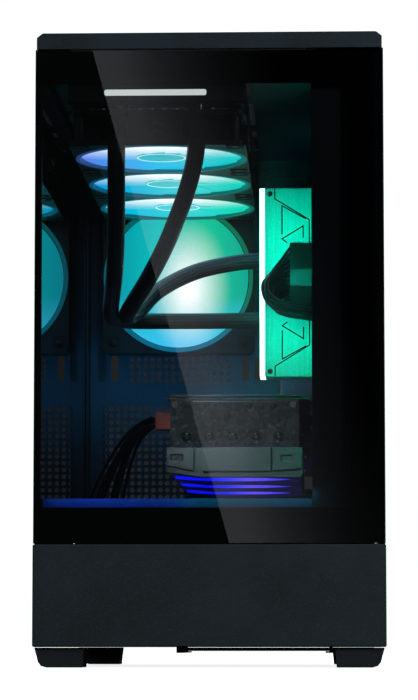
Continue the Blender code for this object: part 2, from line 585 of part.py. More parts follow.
def make_power_supply():
    """The power supply: a steel box, its inlet and switch block, its rear vents and downward fan."""
    x, d, z = SUPPLY_X, SUPPLY_D, SUPPLY_Z
    shell = block(x, d, z)
    inside = block((x[0] + SHEET, x[1] - SHEET), (d[0] + SHEET, d[1] - SHEET), (z[0] + SHEET, z[1] - SHEET))
    fan_x, fan_d = SUPPLY_FAN
    quarters = []
    for turn in (45, 135, 225, 315):
        edge = arc((fan_x, fan_d), 60, turn - 42, turn + 42, 9)
        edge += arc((fan_x, fan_d), 20, turn + 35, turn - 35, 3)
        quarters.append(prism("z", edge, z[0] - 3, z[0] + 5))
    rear = (d[1] - 4, d[1] + 2)
    vents = [block((-10 + 38 * i, 24 + 38 * i), rear, (25, 91)) for i in range(3)]
    seat = block((-38.3, -13.7), rear, (25.7, 90.3))
    pillar = rod("z", SUPPLY_FAN, 12, 44, z[1] - 0.5, sides=16)
    housing = piece("psu_housing", "supply_black", shell, cut=[inside])
    combine(housing, pillar, "UNION")
    combine(housing, together([*quarters, *vents, seat]), "DIFFERENCE")
    inlet = block((-36.5, -15.5), (400, 425), (64, 84))
    switch_hole = block((-35.5, -16.5), (408, 425), (29, 49))
    pins = [block((u - 1, u + 1), (398, 413), (v - 2, v + 2)) for u, v in ((-31, 70), (-21, 70), (-26, 78))]
    body = block((-38, -14), (396, d[1]), (26, 90))
    socket = piece("psu_inlet", "connector_black", body, cut=[together([inlet, switch_hole])])
    combine(socket, together(pins), "UNION")
    fan_rotor("psu_fan_rotor", "z", SUPPLY_FAN, 20, 58, 22, 43.6, 9, "fan_black")
    rocker = [(410, 31), (416.4, 30.2), (419.0, 29.8), (418.3, 39), (419.0, 48.2), (416.4, 47.8), (410, 47)]
    pivot = at(-26, 413.5, 39)
    piece("psu_switch", "switch_red", prism("x", rocker, -34.9, -17.1), pivot=pivot)
    panel = block((-31, 79.7), (262, 418), (10.4, 12.9))
    windows = [block((-27 + 53 * i, 22.5 + 53 * i), (268 + 37 * k, 301 + 37 * k), (5, 20))
               for i in range(2) for k in range(4)]
    piece("psu_dust_filter", "mesh_black", panel, cut=[together(windows)])


FINISHES = {
    "steel_black": ((0.012, 0.014, 0.016), 0.55, 0.3), "panel_grey": ((0.010, 0.013, 0.016), 0.60),
    "cap_grey": ((0.014, 0.018, 0.022), 0.55), "foot": ((0.006, 0.007, 0.008), 0.70),
    "screw_steel": ((0.02, 0.02, 0.022), 0.35, 1.0), "mesh_black": ((0.008, 0.009, 0.010), 0.80),
    "button_black": ((0.02, 0.022, 0.025), 0.35), "connector_black": ((0.010, 0.010, 0.011), 0.50),
    "fan_black": ((0.010, 0.012, 0.014), 0.50), "radiator_black": ((0.012, 0.013, 0.014), 0.45, 0.3),
    "pump_black": ((0.012, 0.012, 0.014), 0.30), "hose_black": ((0.012, 0.014, 0.018), 0.60),
    "cable_black": ((0.008, 0.008, 0.009), 0.70), "board_black": ((0.010, 0.011, 0.013), 0.55),
    "backplate_black": ((0.010, 0.010, 0.012), 0.35, 0.6), "heatsink_grey": ((0.20, 0.22, 0.24), 0.40, 0.8),
    "steel_bright": ((0.55, 0.56, 0.58), 0.30, 1.0), "galvanised": ((0.42, 0.44, 0.45), 0.38, 1.0),
    "fin_aluminium": ((0.60, 0.61, 0.63), 0.35, 1.0), "shroud_grey": ((0.05, 0.055, 0.06), 0.50),
    "supply_black": ((0.010, 0.010, 0.011), 0.50, 0.3), "plug_red": ((0.20, 0.015, 0.015), 0.45),
    "switch_red": ((0.02, 0.02, 0.02), 0.40), "ram_metal": ((0.16, 0.30, 0.28), 0.40, 0.8),
}


def make_materials():
    """One material for each finish; the fans' blades glow and the panes are clear."""
    made = {name: finish(name, *values) for name, values in FINISHES.items()}
    made["glass"] = finish("glass", (0.85, 0.90, 0.92), 0.02, clear=1.0)
    made["blade_teal"] = finish("blade_teal", (0.3, 0.8, 0.8), 0.35, glow=(0.02, 0.75, 0.65))
    made["blade_violet"] = finish("blade_violet", (0.2, 0.15, 0.8), 0.35, glow=(0.08, 0.02, 1.0))
    return made


for old in list(bpy.data.objects):
    bpy.data.objects.remove(old)
MATERIALS = make_materials()
make_feet()
make_base_pan()
make_rear_panel()
make_tray()
make_top_frame()
make_front_frame()
make_shroud()
make_shell()
make_top()
make_cooling()
make_motherboard()
make_graphics_card()
make_power_supply()
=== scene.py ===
"""Looks of the desktop computer tower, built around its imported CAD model.

Sizes are in millimetres and become metres where a mesh is made. As in the CAD, x is across, d is
how far back a point lies from the front glass, and z is up from the floor.
"""
from math import cos, pi, radians, sin

import bmesh
import bpy
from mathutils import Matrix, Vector


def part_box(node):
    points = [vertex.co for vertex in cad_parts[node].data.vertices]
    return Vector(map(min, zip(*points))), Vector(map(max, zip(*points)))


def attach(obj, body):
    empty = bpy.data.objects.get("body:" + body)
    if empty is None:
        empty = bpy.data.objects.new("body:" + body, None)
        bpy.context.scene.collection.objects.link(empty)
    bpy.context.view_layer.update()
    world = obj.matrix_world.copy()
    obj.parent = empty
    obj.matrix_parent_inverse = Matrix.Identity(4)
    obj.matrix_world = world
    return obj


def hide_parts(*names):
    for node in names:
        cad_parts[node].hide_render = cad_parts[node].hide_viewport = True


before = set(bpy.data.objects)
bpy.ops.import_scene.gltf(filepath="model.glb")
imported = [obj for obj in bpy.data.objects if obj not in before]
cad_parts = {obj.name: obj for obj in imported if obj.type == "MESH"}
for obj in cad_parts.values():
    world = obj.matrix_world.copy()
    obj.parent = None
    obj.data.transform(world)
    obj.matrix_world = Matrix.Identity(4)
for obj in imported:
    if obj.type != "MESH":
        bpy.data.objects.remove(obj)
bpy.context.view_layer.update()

MM = 0.001
ROOT = "chassis"
FAN_SCREW = 52.5  # from a 120 mm fan's middle to its screws, half the 105 mm pitch
FITTING_D = 16.7  # the hose fittings under the radiator's front tank
FITTINGS_X = (-62, -8)
ELBOW_D = 278  # the hose elbows on the pump
ELBOWS_Z = (258.5, 303.5)
BOARD_FACE = 84.0
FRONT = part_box("front_glass")[0].y


def at(x, d, z):
    return Vector((x * MM, FRONT + d * MM, z * MM))


class Box:
    """The limits of a CAD node in millimetres: x0 to x1, d0 to d1 and z0 to z1."""

    def __init__(self, node):
        low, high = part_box(node)
        self.x0, self.x1 = low.x / MM, high.x / MM
        self.d0, self.d1 = (low.y - FRONT) / MM, (high.y - FRONT) / MM
        self.z0, self.z1 = low.z / MM, high.z / MM
        self.x = (self.x0 + self.x1) / 2
        self.d = (self.d0 + self.d1) / 2
        self.z = (self.z0 + self.z1) / 2


# ---------------------------------------------------------------- meshes


def on_axis(axis, u, v, h):
    return {"x": (h, u, v), "d": (u, h, v), "z": (u, v, h)}[axis]


def spaced(low, high, count):
    return [low + (high - low) * k / (count - 1) for k in range(count)]


def arc(centre, radius, start, end, steps):
    turns = [radians(start + (end - start) * i / steps) for i in range(steps + 1)]
    return [(centre[0] + radius * cos(t), centre[1] + radius * sin(t)) for t in turns]


def circle(centre, radius, sides):
    return arc(centre, radius, 0, 360, sides)[:-1]


def rounded(u, v, radius, steps=4):
    corners = [(u[1], v[1], 0), (u[0], v[1], 90), (u[0], v[0], 180), (u[1], v[0], 270)]
    points = []
    for corner_u, corner_v, turn in corners:
        side_u = corner_u - radius if turn in (0, 270) else corner_u + radius
        side_v = corner_v - radius if turn in (0, 90) else corner_v + radius
        points += arc((side_u, side_v), radius, turn, turn + 90, steps)
    return points


class Shape:
    """Closed solids gathered into one mesh, in millimetres."""

    def __init__(self):
        self.points = []
        self.faces = []
        self.uvs = []

    def add(self, points, faces, uvs=None):
        start = len(self.points)
        self.points += [at(*p) for p in points]
        self.faces += [tuple(i + start for i in face) for face in faces]
        self.uvs += uvs or [None] * len(faces)
        return self

    def box(self, x, d, z):
        points = [(i, j, k) for i in x for j in d for k in z]
        faces = [(0, 1, 3, 2), (4, 6, 7, 5), (0, 4, 5, 1), (2, 3, 7, 6), (0, 2, 6, 4), (1, 5, 7, 3)]
        return self.add(points, faces)

    def prism(self, axis, outline, low, high):
        n = len(outline)
        points = [on_axis(axis, u, v, low) for u, v in outline]
        points += [on_axis(axis, u, v, high) for u, v in outline]
        faces = [tuple(range(n)), tuple(range(2 * n - 1, n - 1, -1))]
        faces += [(i, i + n, (i + 1) % n + n, (i + 1) % n) for i in range(n)]
        return self.add(points, faces)

    def rod(self, axis, centre, radius, low, high, sides=24):
        return self.prism(axis, circle(centre, radius, sides), low, high)

    def turned(self, axis, centre, profile, sides=32):
        """A closed profile of (radius, height) points turned about an axis."""
        n = len(profile)
        points = []
        for i in range(sides):
            t = 2 * pi * i / sides
            points += [on_axis(axis, centre[0] + r * cos(t), centre[1] + r * sin(t), h) for r, h in profile]
        faces = []
        for i in range(sides):
            k = (i + 1) % sides
            for j in range(n):
                m = (j + 1) % n
                faces.append((i * n + j, k * n + j, k * n + m, i * n + m))
        return self.add(points, faces)

    def tube(self, route, radius, sides=12):
        """A round tube along a list of points, with caps and a UV that runs along it in millimetres."""
        frames = carried_frames(route)
        points, faces, uvs = [], [], []
        lengths = [0.0]
        for a, b in zip(route, route[1:]):
            lengths.append(lengths[-1] + (Vector(b) - Vector(a)).length)
        for place, (side, up) in zip(route, frames):
            for j in range(sides):
                t = 2 * pi * j / sides
                points.append(tuple(Vector(place) + (side * cos(t) + up * sin(t)) * radius))
        for i in range(len(route) - 1):
            for j in range(sides):
                k = (j + 1) % sides
                faces.append((i * sides + j, i * sides + k, (i + 1) * sides + k, (i + 1) * sides + j))
                u0, u1 = j / sides, (j + 1) / sides
                v0, v1 = lengths[i], lengths[i + 1]
                uvs.append([(u0, v0), (u1, v0), (u1, v1), (u0, v1)])
        faces.append(tuple(range(sides - 1, -1, -1)))
        faces.append(tuple(range((len(route) - 1) * sides, len(route) * sides)))
        uvs += [[(0, 0)] * sides, [(0, 0)] * sides]
        return self.add(points, faces, uvs)

    def join(self, other):
        start = len(self.points)
        self.points += other.points
        self.faces += [tuple(i + start for i in face) for face in other.faces]
        self.uvs += other.uvs
        return self


def carried_frames(route, first_side=None):
    """Two directions across a route at each of its points, carried along it without twist."""
    points = [Vector(p) for p in route]
    heads = [(points[min(i + 1, len(points) - 1)] - points[max(i - 1, 0)]).normalized()
             for i in range(len(points))]
    side = Vector(first_side) if first_side else heads[0].orthogonal().normalized()
    frames = []
    for head in heads:
        side = (side - head * side.dot(head)).normalized()
        frames.append((side, head.cross(side)))
    return frames


def smooth_route(points, count):
    """Evenly timed points on a smooth curve through the given ones."""
    knots = [Vector(p) for p in points]
    ends = [knots[0] * 2 - knots[1], *knots, knots[-1] * 2 - knots[-2]]
    spans = len(knots) - 1
    route = []
    for i in range(count + 1):
        along = spans * i / count
        k = min(int(along), spans - 1)
        t = along - k
        a, b, c, e = ends[k:k + 4]
        place = 0.5 * (2 * b + (c - a) * t + (2 * a - 5 * b + 4 * c - e) * t ** 2
                       + (3 * b - a - 3 * c + e) * t ** 3)
        route.append(tuple(place))
    return route


def link(obj):
    bpy.context.scene.collection.objects.link(obj)
    return obj


def crisp(mesh, angle=38):
    """Smooth shading that stays sharp at edges over an angle in degrees."""
    mesh.shade_smooth()
    mesh.set_sharp_from_angle(angle=radians(angle))


def object_of(name, shape, material, smooth=True):
    mesh = bpy.data.meshes.new(name)
    mesh.from_pydata(shape.points, [], shape.faces)
    if any(uv for uv in shape.uvs):
        layer = mesh.uv_layers.new(name="along")
        for polygon, uv in zip(mesh.polygons, shape.uvs):
            for k, loop in enumerate(polygon.loop_indices):
                layer.data[loop].uv = uv[k] if uv else (0, 0)
    work = bmesh.new()
    work.from_mesh(mesh)
    bmesh.ops.recalc_face_normals(work, faces=work.faces)
    work.to_mesh(mesh)
    work.free()
    mesh.materials.append(material)
    if smooth:
        crisp(mesh)
    return link(bpy.data.objects.new(name, mesh))


def cut(obj, *tools):
    """Cuts shapes out of an object and keeps the result as its mesh."""
    for tool in tools:
        helper = object_of("cutter", tool, obj.data.materials[0], smooth=False)
        modifier = obj.modifiers.new("Cut", "BOOLEAN")
        modifier.object = helper
        modifier.operation = "DIFFERENCE"
        modifier.solver = "MANIFOLD"
        graph = bpy.context.evaluated_depsgraph_get()
        made = bpy.data.meshes.new_from_object(obj.evaluated_get(graph))
        obj.modifiers.clear()
        old = obj.data
        obj.data = made
        obj.data.name = obj.name
        bpy.data.meshes.remove(old)
        bpy.data.objects.remove(helper)
    crisp(obj.data)


def soften(obj, width, segments=2, angle=40):
    bevel = obj.modifiers.new("Edges", "BEVEL")
    bevel.width = width * MM
    bevel.segments = segments
    bevel.limit_method = "ANGLE"
    bevel.angle_limit = radians(angle)
    bevel.harden_normals = True
    return obj


def piece(name, shape, material, body=ROOT, replaces=(), edge=0.0, cuts=(), segments=2):
    """One visible piece that rides on a CAD body."""
    obj = object_of(name, shape, MATERIALS[material])
    if cuts:
        cut(obj, *cuts)
    if edge:
        soften(obj, edge, segments)
    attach(obj, body)
    if replaces:
        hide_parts(*replaces)
    return obj


# ---------------------------------------------------------------- materials


class Nodes:
    """A short way to write a material's node tree."""

    def __init__(self, name):
        self.material = bpy.data.materials.new(name)
        self.material.use_nodes = True
        self.tree = self.material.node_tree
        self.shader = self.tree.nodes["Principled BSDF"]
        self.output = self.tree.nodes["Material Output"]

    def new(self, kind, inputs=None, **settings):
        node = self.tree.nodes.new(kind)
        for key, value in settings.items():
            setattr(node, key, value)
        for key, value in (inputs or {}).items():
            self.set(node.inputs[key], value)
        return node

    def set(self, socket, value):
        if isinstance(value, bpy.types.NodeSocket):
            self.tree.links.new(value, socket)
        else:
            socket.default_value = value

    def coords(self, kind="Object"):
        return self.new("ShaderNodeTexCoord").outputs[kind]

    def noise(self, scale, vector=None, detail=3.0, roughness=0.55):
        inputs = {"Vector": vector or self.coords(), "Scale": scale, "Detail": detail, "Roughness": roughness}
        return self.new("ShaderNodeTexNoise", inputs).outputs["Fac"]

    def remap(self, value, low, high, to_low, to_high):
        inputs = {"Value": value, "From Min": low, "From Max": high, "To Min": to_low, "To Max": to_high}
        return self.new("ShaderNodeMapRange", inputs).outputs["Result"]

    def math(self, operation, a, b=0.0, c=0.0):
        node = self.new("ShaderNodeMath", operation=operation)
        for socket, value in zip(node.inputs, (a, b, c)):
            self.set(socket, value)
        return node.outputs[0]

    def mix(self, share, a, b):
        node = self.new("ShaderNodeMix", data_type="RGBA")
        self.set(node.inputs[0], share)
        for socket, value in ((node.inputs[6], a), (node.inputs[7], b)):
            self.set(socket, value if isinstance(value, bpy.types.NodeSocket) else (*value, 1.0))
        return node.outputs[2]

    def bump(self, height, strength, distance):
        inputs = {"Height": height, "Strength": strength, "Distance": distance}
        return self.new("ShaderNodeBump", inputs).outputs["Normal"]

    def finish(self, **inputs):
        for key, value in inputs.items():
            socket = self.shader.inputs[key.replace("_", " ")]
            if not isinstance(value, bpy.types.NodeSocket) and isinstance(value, tuple):
                value = (*value, 1.0)
            self.set(socket, value)
        return self.material


def scaled(colour, factor):
    return tuple(min(1.0, c * factor) for c in colour)


def coated(name, colour, roughness, metallic=0.0, grain=1800.0, bump=0.25, depth=0.00006, vary=0.25):
    """Paint or moulded plastic: fine grain in the surface, and slow changes in tone and gloss."""
    n = Nodes(name)
    fine = n.noise(grain, detail=2.0)
    slow = n.noise(22.0, detail=4.0)
    speck = n.noise(grain * 0.6, detail=0.0)
    tone = n.mix(n.remap(slow, 0.3, 0.7, 0.0, 1.0), scaled(colour, 1 - vary), scaled(colour, 1 + vary))
    tone = n.mix(n.remap(speck, 0.62, 0.75, 0.0, 0.5), tone, scaled(colour, 2.2))
    gloss = n.remap(slow, 0.3, 0.7, roughness - 0.06, roughness + 0.06)
    normal = n.bump(fine, bump, depth)
    return n.finish(Base_Color=tone, Roughness=gloss, Metallic=metallic, Normal=normal)


def brushed(name, colour, roughness, stretch=(40.0, 40.0, 2500.0), bump=0.12):
    """Metal with fine lines across the direction of the largest stretch."""
    n = Nodes(name)
    mapped = n.new("ShaderNodeMapping", {"Vector": n.coords(), "Scale": stretch}).outputs[0]
    lines = n.noise(1.0, mapped, detail=4.0)
    slow = n.noise(30.0)
    tone = n.mix(n.remap(lines, 0.3, 0.7, 0.0, 1.0), scaled(colour, 0.82), scaled(colour, 1.15))
    gloss = n.remap(slow, 0.3, 0.7, roughness - 0.05, roughness + 0.08)
    return n.finish(Base_Color=tone, Roughness=gloss, Metallic=1.0, Normal=n.bump(lines, bump, 0.00005))


def galvanised(name):
    """Zinc-coated steel: pale spangles of slightly different tone and gloss."""
    n = Nodes(name)
    cells = n.new("ShaderNodeTexVoronoi", {"Vector": n.coords(), "Scale": 420.0, "Randomness": 1.0})
    tone_of_cell = n.new("ShaderNodeSeparateColor", {"Color": cells.outputs["Color"]}).outputs[0]
    slow = n.noise(120.0, detail=5.0, roughness=0.7)
    mixed = n.math("ADD", n.math("MULTIPLY", tone_of_cell, 0.5), n.math("MULTIPLY", slow, 0.5))
    tone = n.mix(n.remap(mixed, 0.2, 0.8, 0.0, 1.0), (0.34, 0.38, 0.39), (0.70, 0.76, 0.77))
    gloss = n.remap(mixed, 0.2, 0.8, 0.42, 0.26)
    return n.finish(Base_Color=tone, Roughness=gloss, Metallic=1.0, Normal=n.bump(mixed, 0.25, 0.00008))


def braided(name, colour, light, around, pitch):
    """A braided sleeve: crossing strands on a tube whose UV runs round it and along it. Its raised weave is
    painted lighter and its hollows darker, with lighter lengthwise lines: painted highlight and shade.
    """
    n = Nodes(name)
    uv = n.new("ShaderNodeSeparateXYZ", {"Vector": n.coords("UV")})
    u = n.math("MULTIPLY", uv.outputs[0], around)
    v = n.math("DIVIDE", uv.outputs[1], pitch)
    left = n.math("SINE", n.math("MULTIPLY", n.math("ADD", u, v), 2 * pi))
    right = n.math("SINE", n.math("MULTIPLY", n.math("SUBTRACT", u, v), 2 * pi))
    strand_and_painted_streak = n.math("SINE", n.math("MULTIPLY", u, 2 * pi))
    weave = n.math("ADD", n.math("MULTIPLY", n.math("MAXIMUM", left, right), 0.5),
                   n.math("MULTIPLY", strand_and_painted_streak, 0.5))
    height = n.remap(weave, -0.4, 0.9, 0.0, 1.0)
    slow = n.noise(60.0)
    # painted shade in the hollows of the weave and painted highlight on its raised strands and lengthwise
    # lines
    tone = n.mix(height, scaled(colour, 0.35), light)
    tone = n.mix(n.remap(slow, 0.35, 0.65, 0.0, 0.4), tone, colour)
    return n.finish(Base_Color=tone, Roughness=0.30, Specular_IOR_Level=0.7,
                    Normal=n.bump(height, 0.6, 0.0003))


def board(name):
    """Black solder mask over copper tracks."""
    n = Nodes(name)
    tracks = n.new("ShaderNodeTexBrick", {"Vector": n.coords(), "Scale": 300.0, "Mortar Size": 0.03})
    slow = n.noise(90.0, detail=6.0)
    tone = n.mix(n.remap(slow, 0.45, 0.6, 0.0, 1.0), (0.006, 0.007, 0.009), (0.014, 0.018, 0.022))
    height = n.math("ADD", n.math("MULTIPLY", tracks.outputs["Fac"], 0.3), slow)
    return n.finish(Base_Color=tone, Roughness=0.42, Normal=n.bump(height, 0.3, 0.00008))


def clear_glass(name, tint, deep):
    """A clear pane: it mirrors more towards grazing angles and lets less light through there."""
    n = Nodes(name)
    n.tree.nodes.remove(n.shader)
    fresnel = n.new("ShaderNodeFresnel", {"IOR": 1.5}).outputs[0]
    facing = n.new("ShaderNodeLayerWeight", {"Blend": 0.5}).outputs["Facing"]
    dust = n.noise(900.0, detail=2.0)
    shade = n.mix(n.remap(facing, 0.2, 0.85, 0.0, 1.0), tint, deep)
    through = n.new("ShaderNodeBsdfTransparent", {"Color": shade}).outputs[0]
    gloss = n.remap(dust, 0.3, 0.7, 0.0, 0.004)
    mirror = n.new("ShaderNodeBsdfGlossy", {"Color": (0.96, 0.98, 1.0, 1.0), "Roughness": gloss}).outputs[0]
    mixed = n.new("ShaderNodeMixShader", {0: fresnel, 1: through, 2: mirror}).outputs[0]
    n.set(n.output.inputs["Surface"], mixed)
    return n.material


def ramp(n, value, stops):
    """A colour that changes along a value, from (place, colour) stops."""
    node = n.new("ShaderNodeValToRGB", {"Fac": value})
    elements = node.color_ramp.elements
    while len(elements) < len(stops):
        elements.new(0.5)
    for element, (place, colour) in zip(elements, stops):
        element.position = place
        element.color = (*colour, 1.0)
    return node.outputs[0]


def lit_disc(name, axis, centre, radius, across, hot_place, squash, reach, strength, hot=(1.0, 1.0, 1.0),
             low=None,
             pair=False):
    """Frosted blades lit from inside, in colours across the disc that whiten round one hot place or two."""
    n = Nodes(name)
    middle = at(*on_axis(axis, *centre, 0))
    place = n.new("ShaderNodeVectorMath", {0: n.coords(), 1: tuple(middle)}, operation="SUBTRACT").outputs[0]
    parts = n.new("ShaderNodeSeparateXYZ", {"Vector": place})
    second = parts.outputs[1] if axis == "z" else parts.outputs[2]
    u = n.math("DIVIDE", parts.outputs[0], radius * MM)
    v = n.math("DIVIDE", second, radius * MM)
    glow = ramp(n, n.remap(u, -1.0, 1.0, 0.0, 1.0), across)
    if low:
        glow = n.mix(n.remap(v, -0.25, -1.0, 0.0, 1.0), glow, low)
    beside = n.math("ABSOLUTE", u) if pair else u
    du = n.math("MULTIPLY", n.math("SUBTRACT", beside, hot_place[0]), squash[0])
    dv = n.math("MULTIPLY", n.math("SUBTRACT", v, hot_place[1]), squash[1])
    away = n.math("SQRT", n.math("ADD", n.math("MULTIPLY", du, du), n.math("MULTIPLY", dv, dv)))
    glow = n.mix(n.math("POWER", n.remap(away, reach[0], reach[1], 1.0, 0.0), 1.4), glow, hot)
    frost = n.noise(400.0, detail=2.0)
    glow = n.mix(n.remap(frost, 0.3, 0.7, 0.0, 0.06), glow, (0.0, 0.12, 0.15))
    n.finish(Base_Color=(0.004, 0.03, 0.04), Roughness=0.45, Emission_Color=glow)
    n.shader.inputs["Emission Strength"].default_value = strength
    n.set(n.shader.inputs["Normal"], n.bump(frost, 0.05, 0.0001))
    return n.material


def lamp(name, colour, strength, tint=(0.8, 0.8, 0.8)):
    """A diffuser over a row of small lamps, its glow a little uneven; it also makes plain labels glow, which
    is painted light.
    """
    n = Nodes(name)
    slow = n.noise(40.0)
    glow = n.mix(n.remap(slow, 0.3, 0.7, 0.0, 0.35), colour, scaled(colour, 0.8))
    n.finish(Base_Color=tint, Roughness=0.4, Emission_Color=glow)
    n.shader.inputs["Emission Strength"].default_value = strength
    return n.material


def heatspreader(name):
    """Brushed, anodised aluminium whose teal-green tone is painted light from its lamp bar."""
    n = Nodes(name)
    mapped = n.new("ShaderNodeMapping", {"Vector": n.coords(), "Scale": (900, 900, 40)}).outputs[0]
    lines = n.noise(1.0, mapped, detail=3.0)
    speck = n.noise(1500.0, detail=1.0)
    # teal-green tone and the brighter teal specks are painted light and glints of the lamp bar
    tone = n.mix(lines, (0.03, 0.20, 0.19), (0.06, 0.34, 0.32))
    tone = n.mix(n.remap(speck, 0.6, 0.7, 0.0, 0.3), tone, (0.2, 0.6, 0.6))
    return n.finish(Base_Color=tone, Roughness=0.42, Metallic=0.7, Normal=n.bump(lines, 0.15, 0.00005))


def make_materials():
    m = {}
    m["panel"] = coated("panel_texture", (0.0105, 0.0135, 0.016), 0.62, grain=1100, bump=0.6, depth=0.00012)
    m["cap"] = coated("cap_paint", (0.014, 0.018, 0.022), 0.5, 0.2, grain=1600)
    m["steel"] = coated("powder_coat", (0.020, 0.027, 0.034), 0.55, 0.3, grain=1500, bump=0.35)
    # a lighter, bluer copy of the black powder coat for the inside sheets: painted blue light of the fans
    m["inside"] = coated("inside_coat_painted_blue_light", (0.030, 0.052, 0.075), 0.5, 0.3, grain=1500, bump=0.35)
    m["foot"] = coated("foot_plastic", (0.006, 0.007, 0.008), 0.6, grain=900)
    m["plastic"] = coated("black_plastic", (0.010, 0.011, 0.012), 0.42, grain=1300)
    m["gloss"] = coated("gloss_plastic", (0.010, 0.010, 0.012), 0.12, grain=600, bump=0.05)
    m["rubber"] = coated("rubber", (0.008, 0.008, 0.009), 0.75, grain=700)
    m["border"] = coated("printed_border", (0.0006, 0.0008, 0.0011), 0.6, grain=2500, bump=0.0)
    m["border"].node_tree.nodes["Principled BSDF"].inputs["Specular IOR Level"].default_value = 0.1
    m["radiator"] = coated("radiator_paint", (0.012, 0.013, 0.015), 0.38, 0.2, grain=1500)
    m["grey"] = coated("shroud_plastic", (0.028, 0.032, 0.036), 0.45, grain=1200)
    m["pale"] = coated("anodised_cover", (0.16, 0.24, 0.30), 0.35, 0.6, grain=1700)
    # the labels are no lamps: their glow is painted light
    m["label"] = lamp("label_painted_glow", (0.88, 0.95, 0.92), 0.72, (0.5, 0.5, 0.5))
    m["red"] = coated("red_plastic", (0.16, 0.010, 0.012), 0.45, grain=1200)
    m["white_mark"] = coated("pale_mark", (0.045, 0.047, 0.05), 0.5, grain=900)
    m["supply"] = coated("supply_coat", (0.010, 0.010, 0.011), 0.5, 0.3)
    m["board"] = board("solder_mask")
    m["steel_bright"] = brushed("bright_steel", (0.56, 0.57, 0.60), 0.3)
    m["screw"] = brushed("black_screw", (0.05, 0.05, 0.055), 0.32, (900, 900, 900))
    m["nickel"] = brushed("nickel", (0.62, 0.62, 0.60), 0.16, (300, 300, 300), 0.05)
    m["fins"] = brushed("fin_aluminium", (0.60, 0.61, 0.63), 0.35)
    m["gold"] = brushed("contact_gold", (0.60, 0.42, 0.14), 0.3, (300, 300, 300))
    m["zinc"] = galvanised("zinc_plate")
    # the second colour is the painted highlight on the raised strands
    m["hose"] = braided("hose_braid", (0.003, 0.004, 0.005), (0.040, 0.050, 0.062), 15.0, 3.0)
    m["wire"] = coated("wire_jacket", (0.0018, 0.0018, 0.0022), 0.30, grain=900, bump=0.1)
    m["plug"] = coated("plug_plastic", (0.0018, 0.0018, 0.002), 0.45, grain=1300)
    m["mesh"] = coated("nylon_mesh", (0.008, 0.009, 0.010), 0.7, grain=2500)
    # the spreaders' teal-green colour is painted light from the lamp bars
    m["spreader"] = heatspreader("memory_spreader_painted_glow")
    m["front_pane"] = clear_glass("front_pane", (0.95, 0.965, 0.97), (0.35, 0.4, 0.42))
    m["side_pane"] = clear_glass("side_pane", (0.42, 0.45, 0.47), (0.0, 0.0, 0.0))
    m["bar"] = lamp("light_bar", (1.0, 1.0, 0.97), 1.3)
    m["led_ring"] = lamp("button_ring", (0.5, 0.8, 1.0), 0.5)
    m["ring_cyan"] = lamp("cyan_ring", (0.0, 0.55, 0.8), 0.8)
    m["white_glow"] = lamp("white_trim", (0.85, 1.0, 1.0), 0.95)
    m["hub_teal"] = lamp("lit_hub", (0.0, 0.50, 0.55), 0.85)
    m["dim_blades"] = coated("smoked_blades", (0.010, 0.011, 0.012), 0.3)
    return m


# ---------------------------------------------------------------- camera, stage and light


def aim(obj, target):
    obj.rotation_euler = (target - obj.location).to_track_quat("-Z", "Y").to_euler()


def make_camera():
    """A long lens 2 m in front, close to the floor and a little right of centre, looking up 5.6 degrees."""
    data = bpy.data.cameras.new("camera")
    data.lens = 156.45
    data.sensor_width = 36.0
    data.clip_start = 0.1
    camera = bpy.data.objects.new("camera", data)
    camera.location = at(71.86, -2000, 14)
    ahead = Vector((-0.03572, 0.99465, 0.09688))
    camera.rotation_euler = ahead.to_track_quat("-Z", "Y").to_euler()
    bpy.context.scene.camera = link(camera)


def area_light(name, place, target, size, power, colour=(1, 1, 1)):
    data = bpy.data.lights.new(name, "AREA")
    data.shape = "RECTANGLE"
    data.size, data.size_y = size
    data.energy = power
    data.color = colour
    light = bpy.data.objects.new(name, data)
    light.location = place
    aim(light, target)
    return link(light)


def floor_material():
    n = Nodes("pale_floor")
    slow = n.noise(3.0)
    place = n.coords()
    away = n.new("ShaderNodeVectorMath", {0: place}, operation="LENGTH").outputs["Value"]
    tone = n.mix(slow, (0.86, 0.86, 0.86), (0.90, 0.90, 0.90))
    n.finish(Base_Color=tone, Roughness=0.7, Specular_IOR_Level=0.0, Emission_Color=(1.0, 1.0, 1.0))
    # emission is weaker near the case, 0.84 within 0.22 m of the middle: a painted soft shadow on the floor
    n.set(n.shader.inputs["Emission Strength"], n.remap(away, 0.22, 0.5, 0.84, 1.0))
    return n.material


def reflected(x, z, reach):
    """Where the camera's mirror image of a point on the front glass falls, reach in front of the glass."""
    eye = bpy.context.scene.camera.location
    glass = at(x, 0, z)
    return glass + Vector((glass.x - eye.x, -(glass.y - eye.y), glass.z - eye.z)) * (reach / 2000)


def make_light_card():
    """A slanted soft light that only mirrors in the glass, brightest along its left edge."""
    reach = 2300
    top, bottom, top_left, bottom_left, right = 416, 78, -79.5, 14.2, 150
    corners = [(top_left, top), (bottom_left, bottom), (right, bottom), (right, top)]
    points = [reflected(x, z, reach) for x, z in corners]
    mesh = bpy.data.meshes.new("light_card")
    mesh.from_pydata(points, [], [(0, 1, 2, 3)])
    layer = mesh.uv_layers.new(name="card")
    for loop, (x, z) in zip(layer.data, corners):
        edge = top_left + (top - z) * (bottom_left - top_left) / (top - bottom)
        loop.uv = ((x - edge) / 140.0, (z - bottom) / (top - bottom))
    n = Nodes("light_card")
    n.tree.nodes.remove(n.shader)
    uv = n.new("ShaderNodeSeparateXYZ", {"Vector": n.coords("UV")})
    levels = [(0.0, 1.0), (0.12, 0.92), (0.22, 0.60), (0.32, 0.38), (0.44, 0.22), (0.58, 0.10), (0.85, 0.0)]
    fade = ramp(n, uv.outputs[0], [(place, (level, level * 1.02, level * 1.06)) for place, level in levels])
    glow = n.new("ShaderNodeEmission", {"Color": fade, "Strength": 0.36}).outputs[0]
    n.set(n.output.inputs["Surface"], glow)
    mesh.materials.append(n.material)
    card = link(bpy.data.objects.new("light_card", mesh))
    card.visible_camera = False
    card.visible_diffuse = False
    card.visible_shadow = False


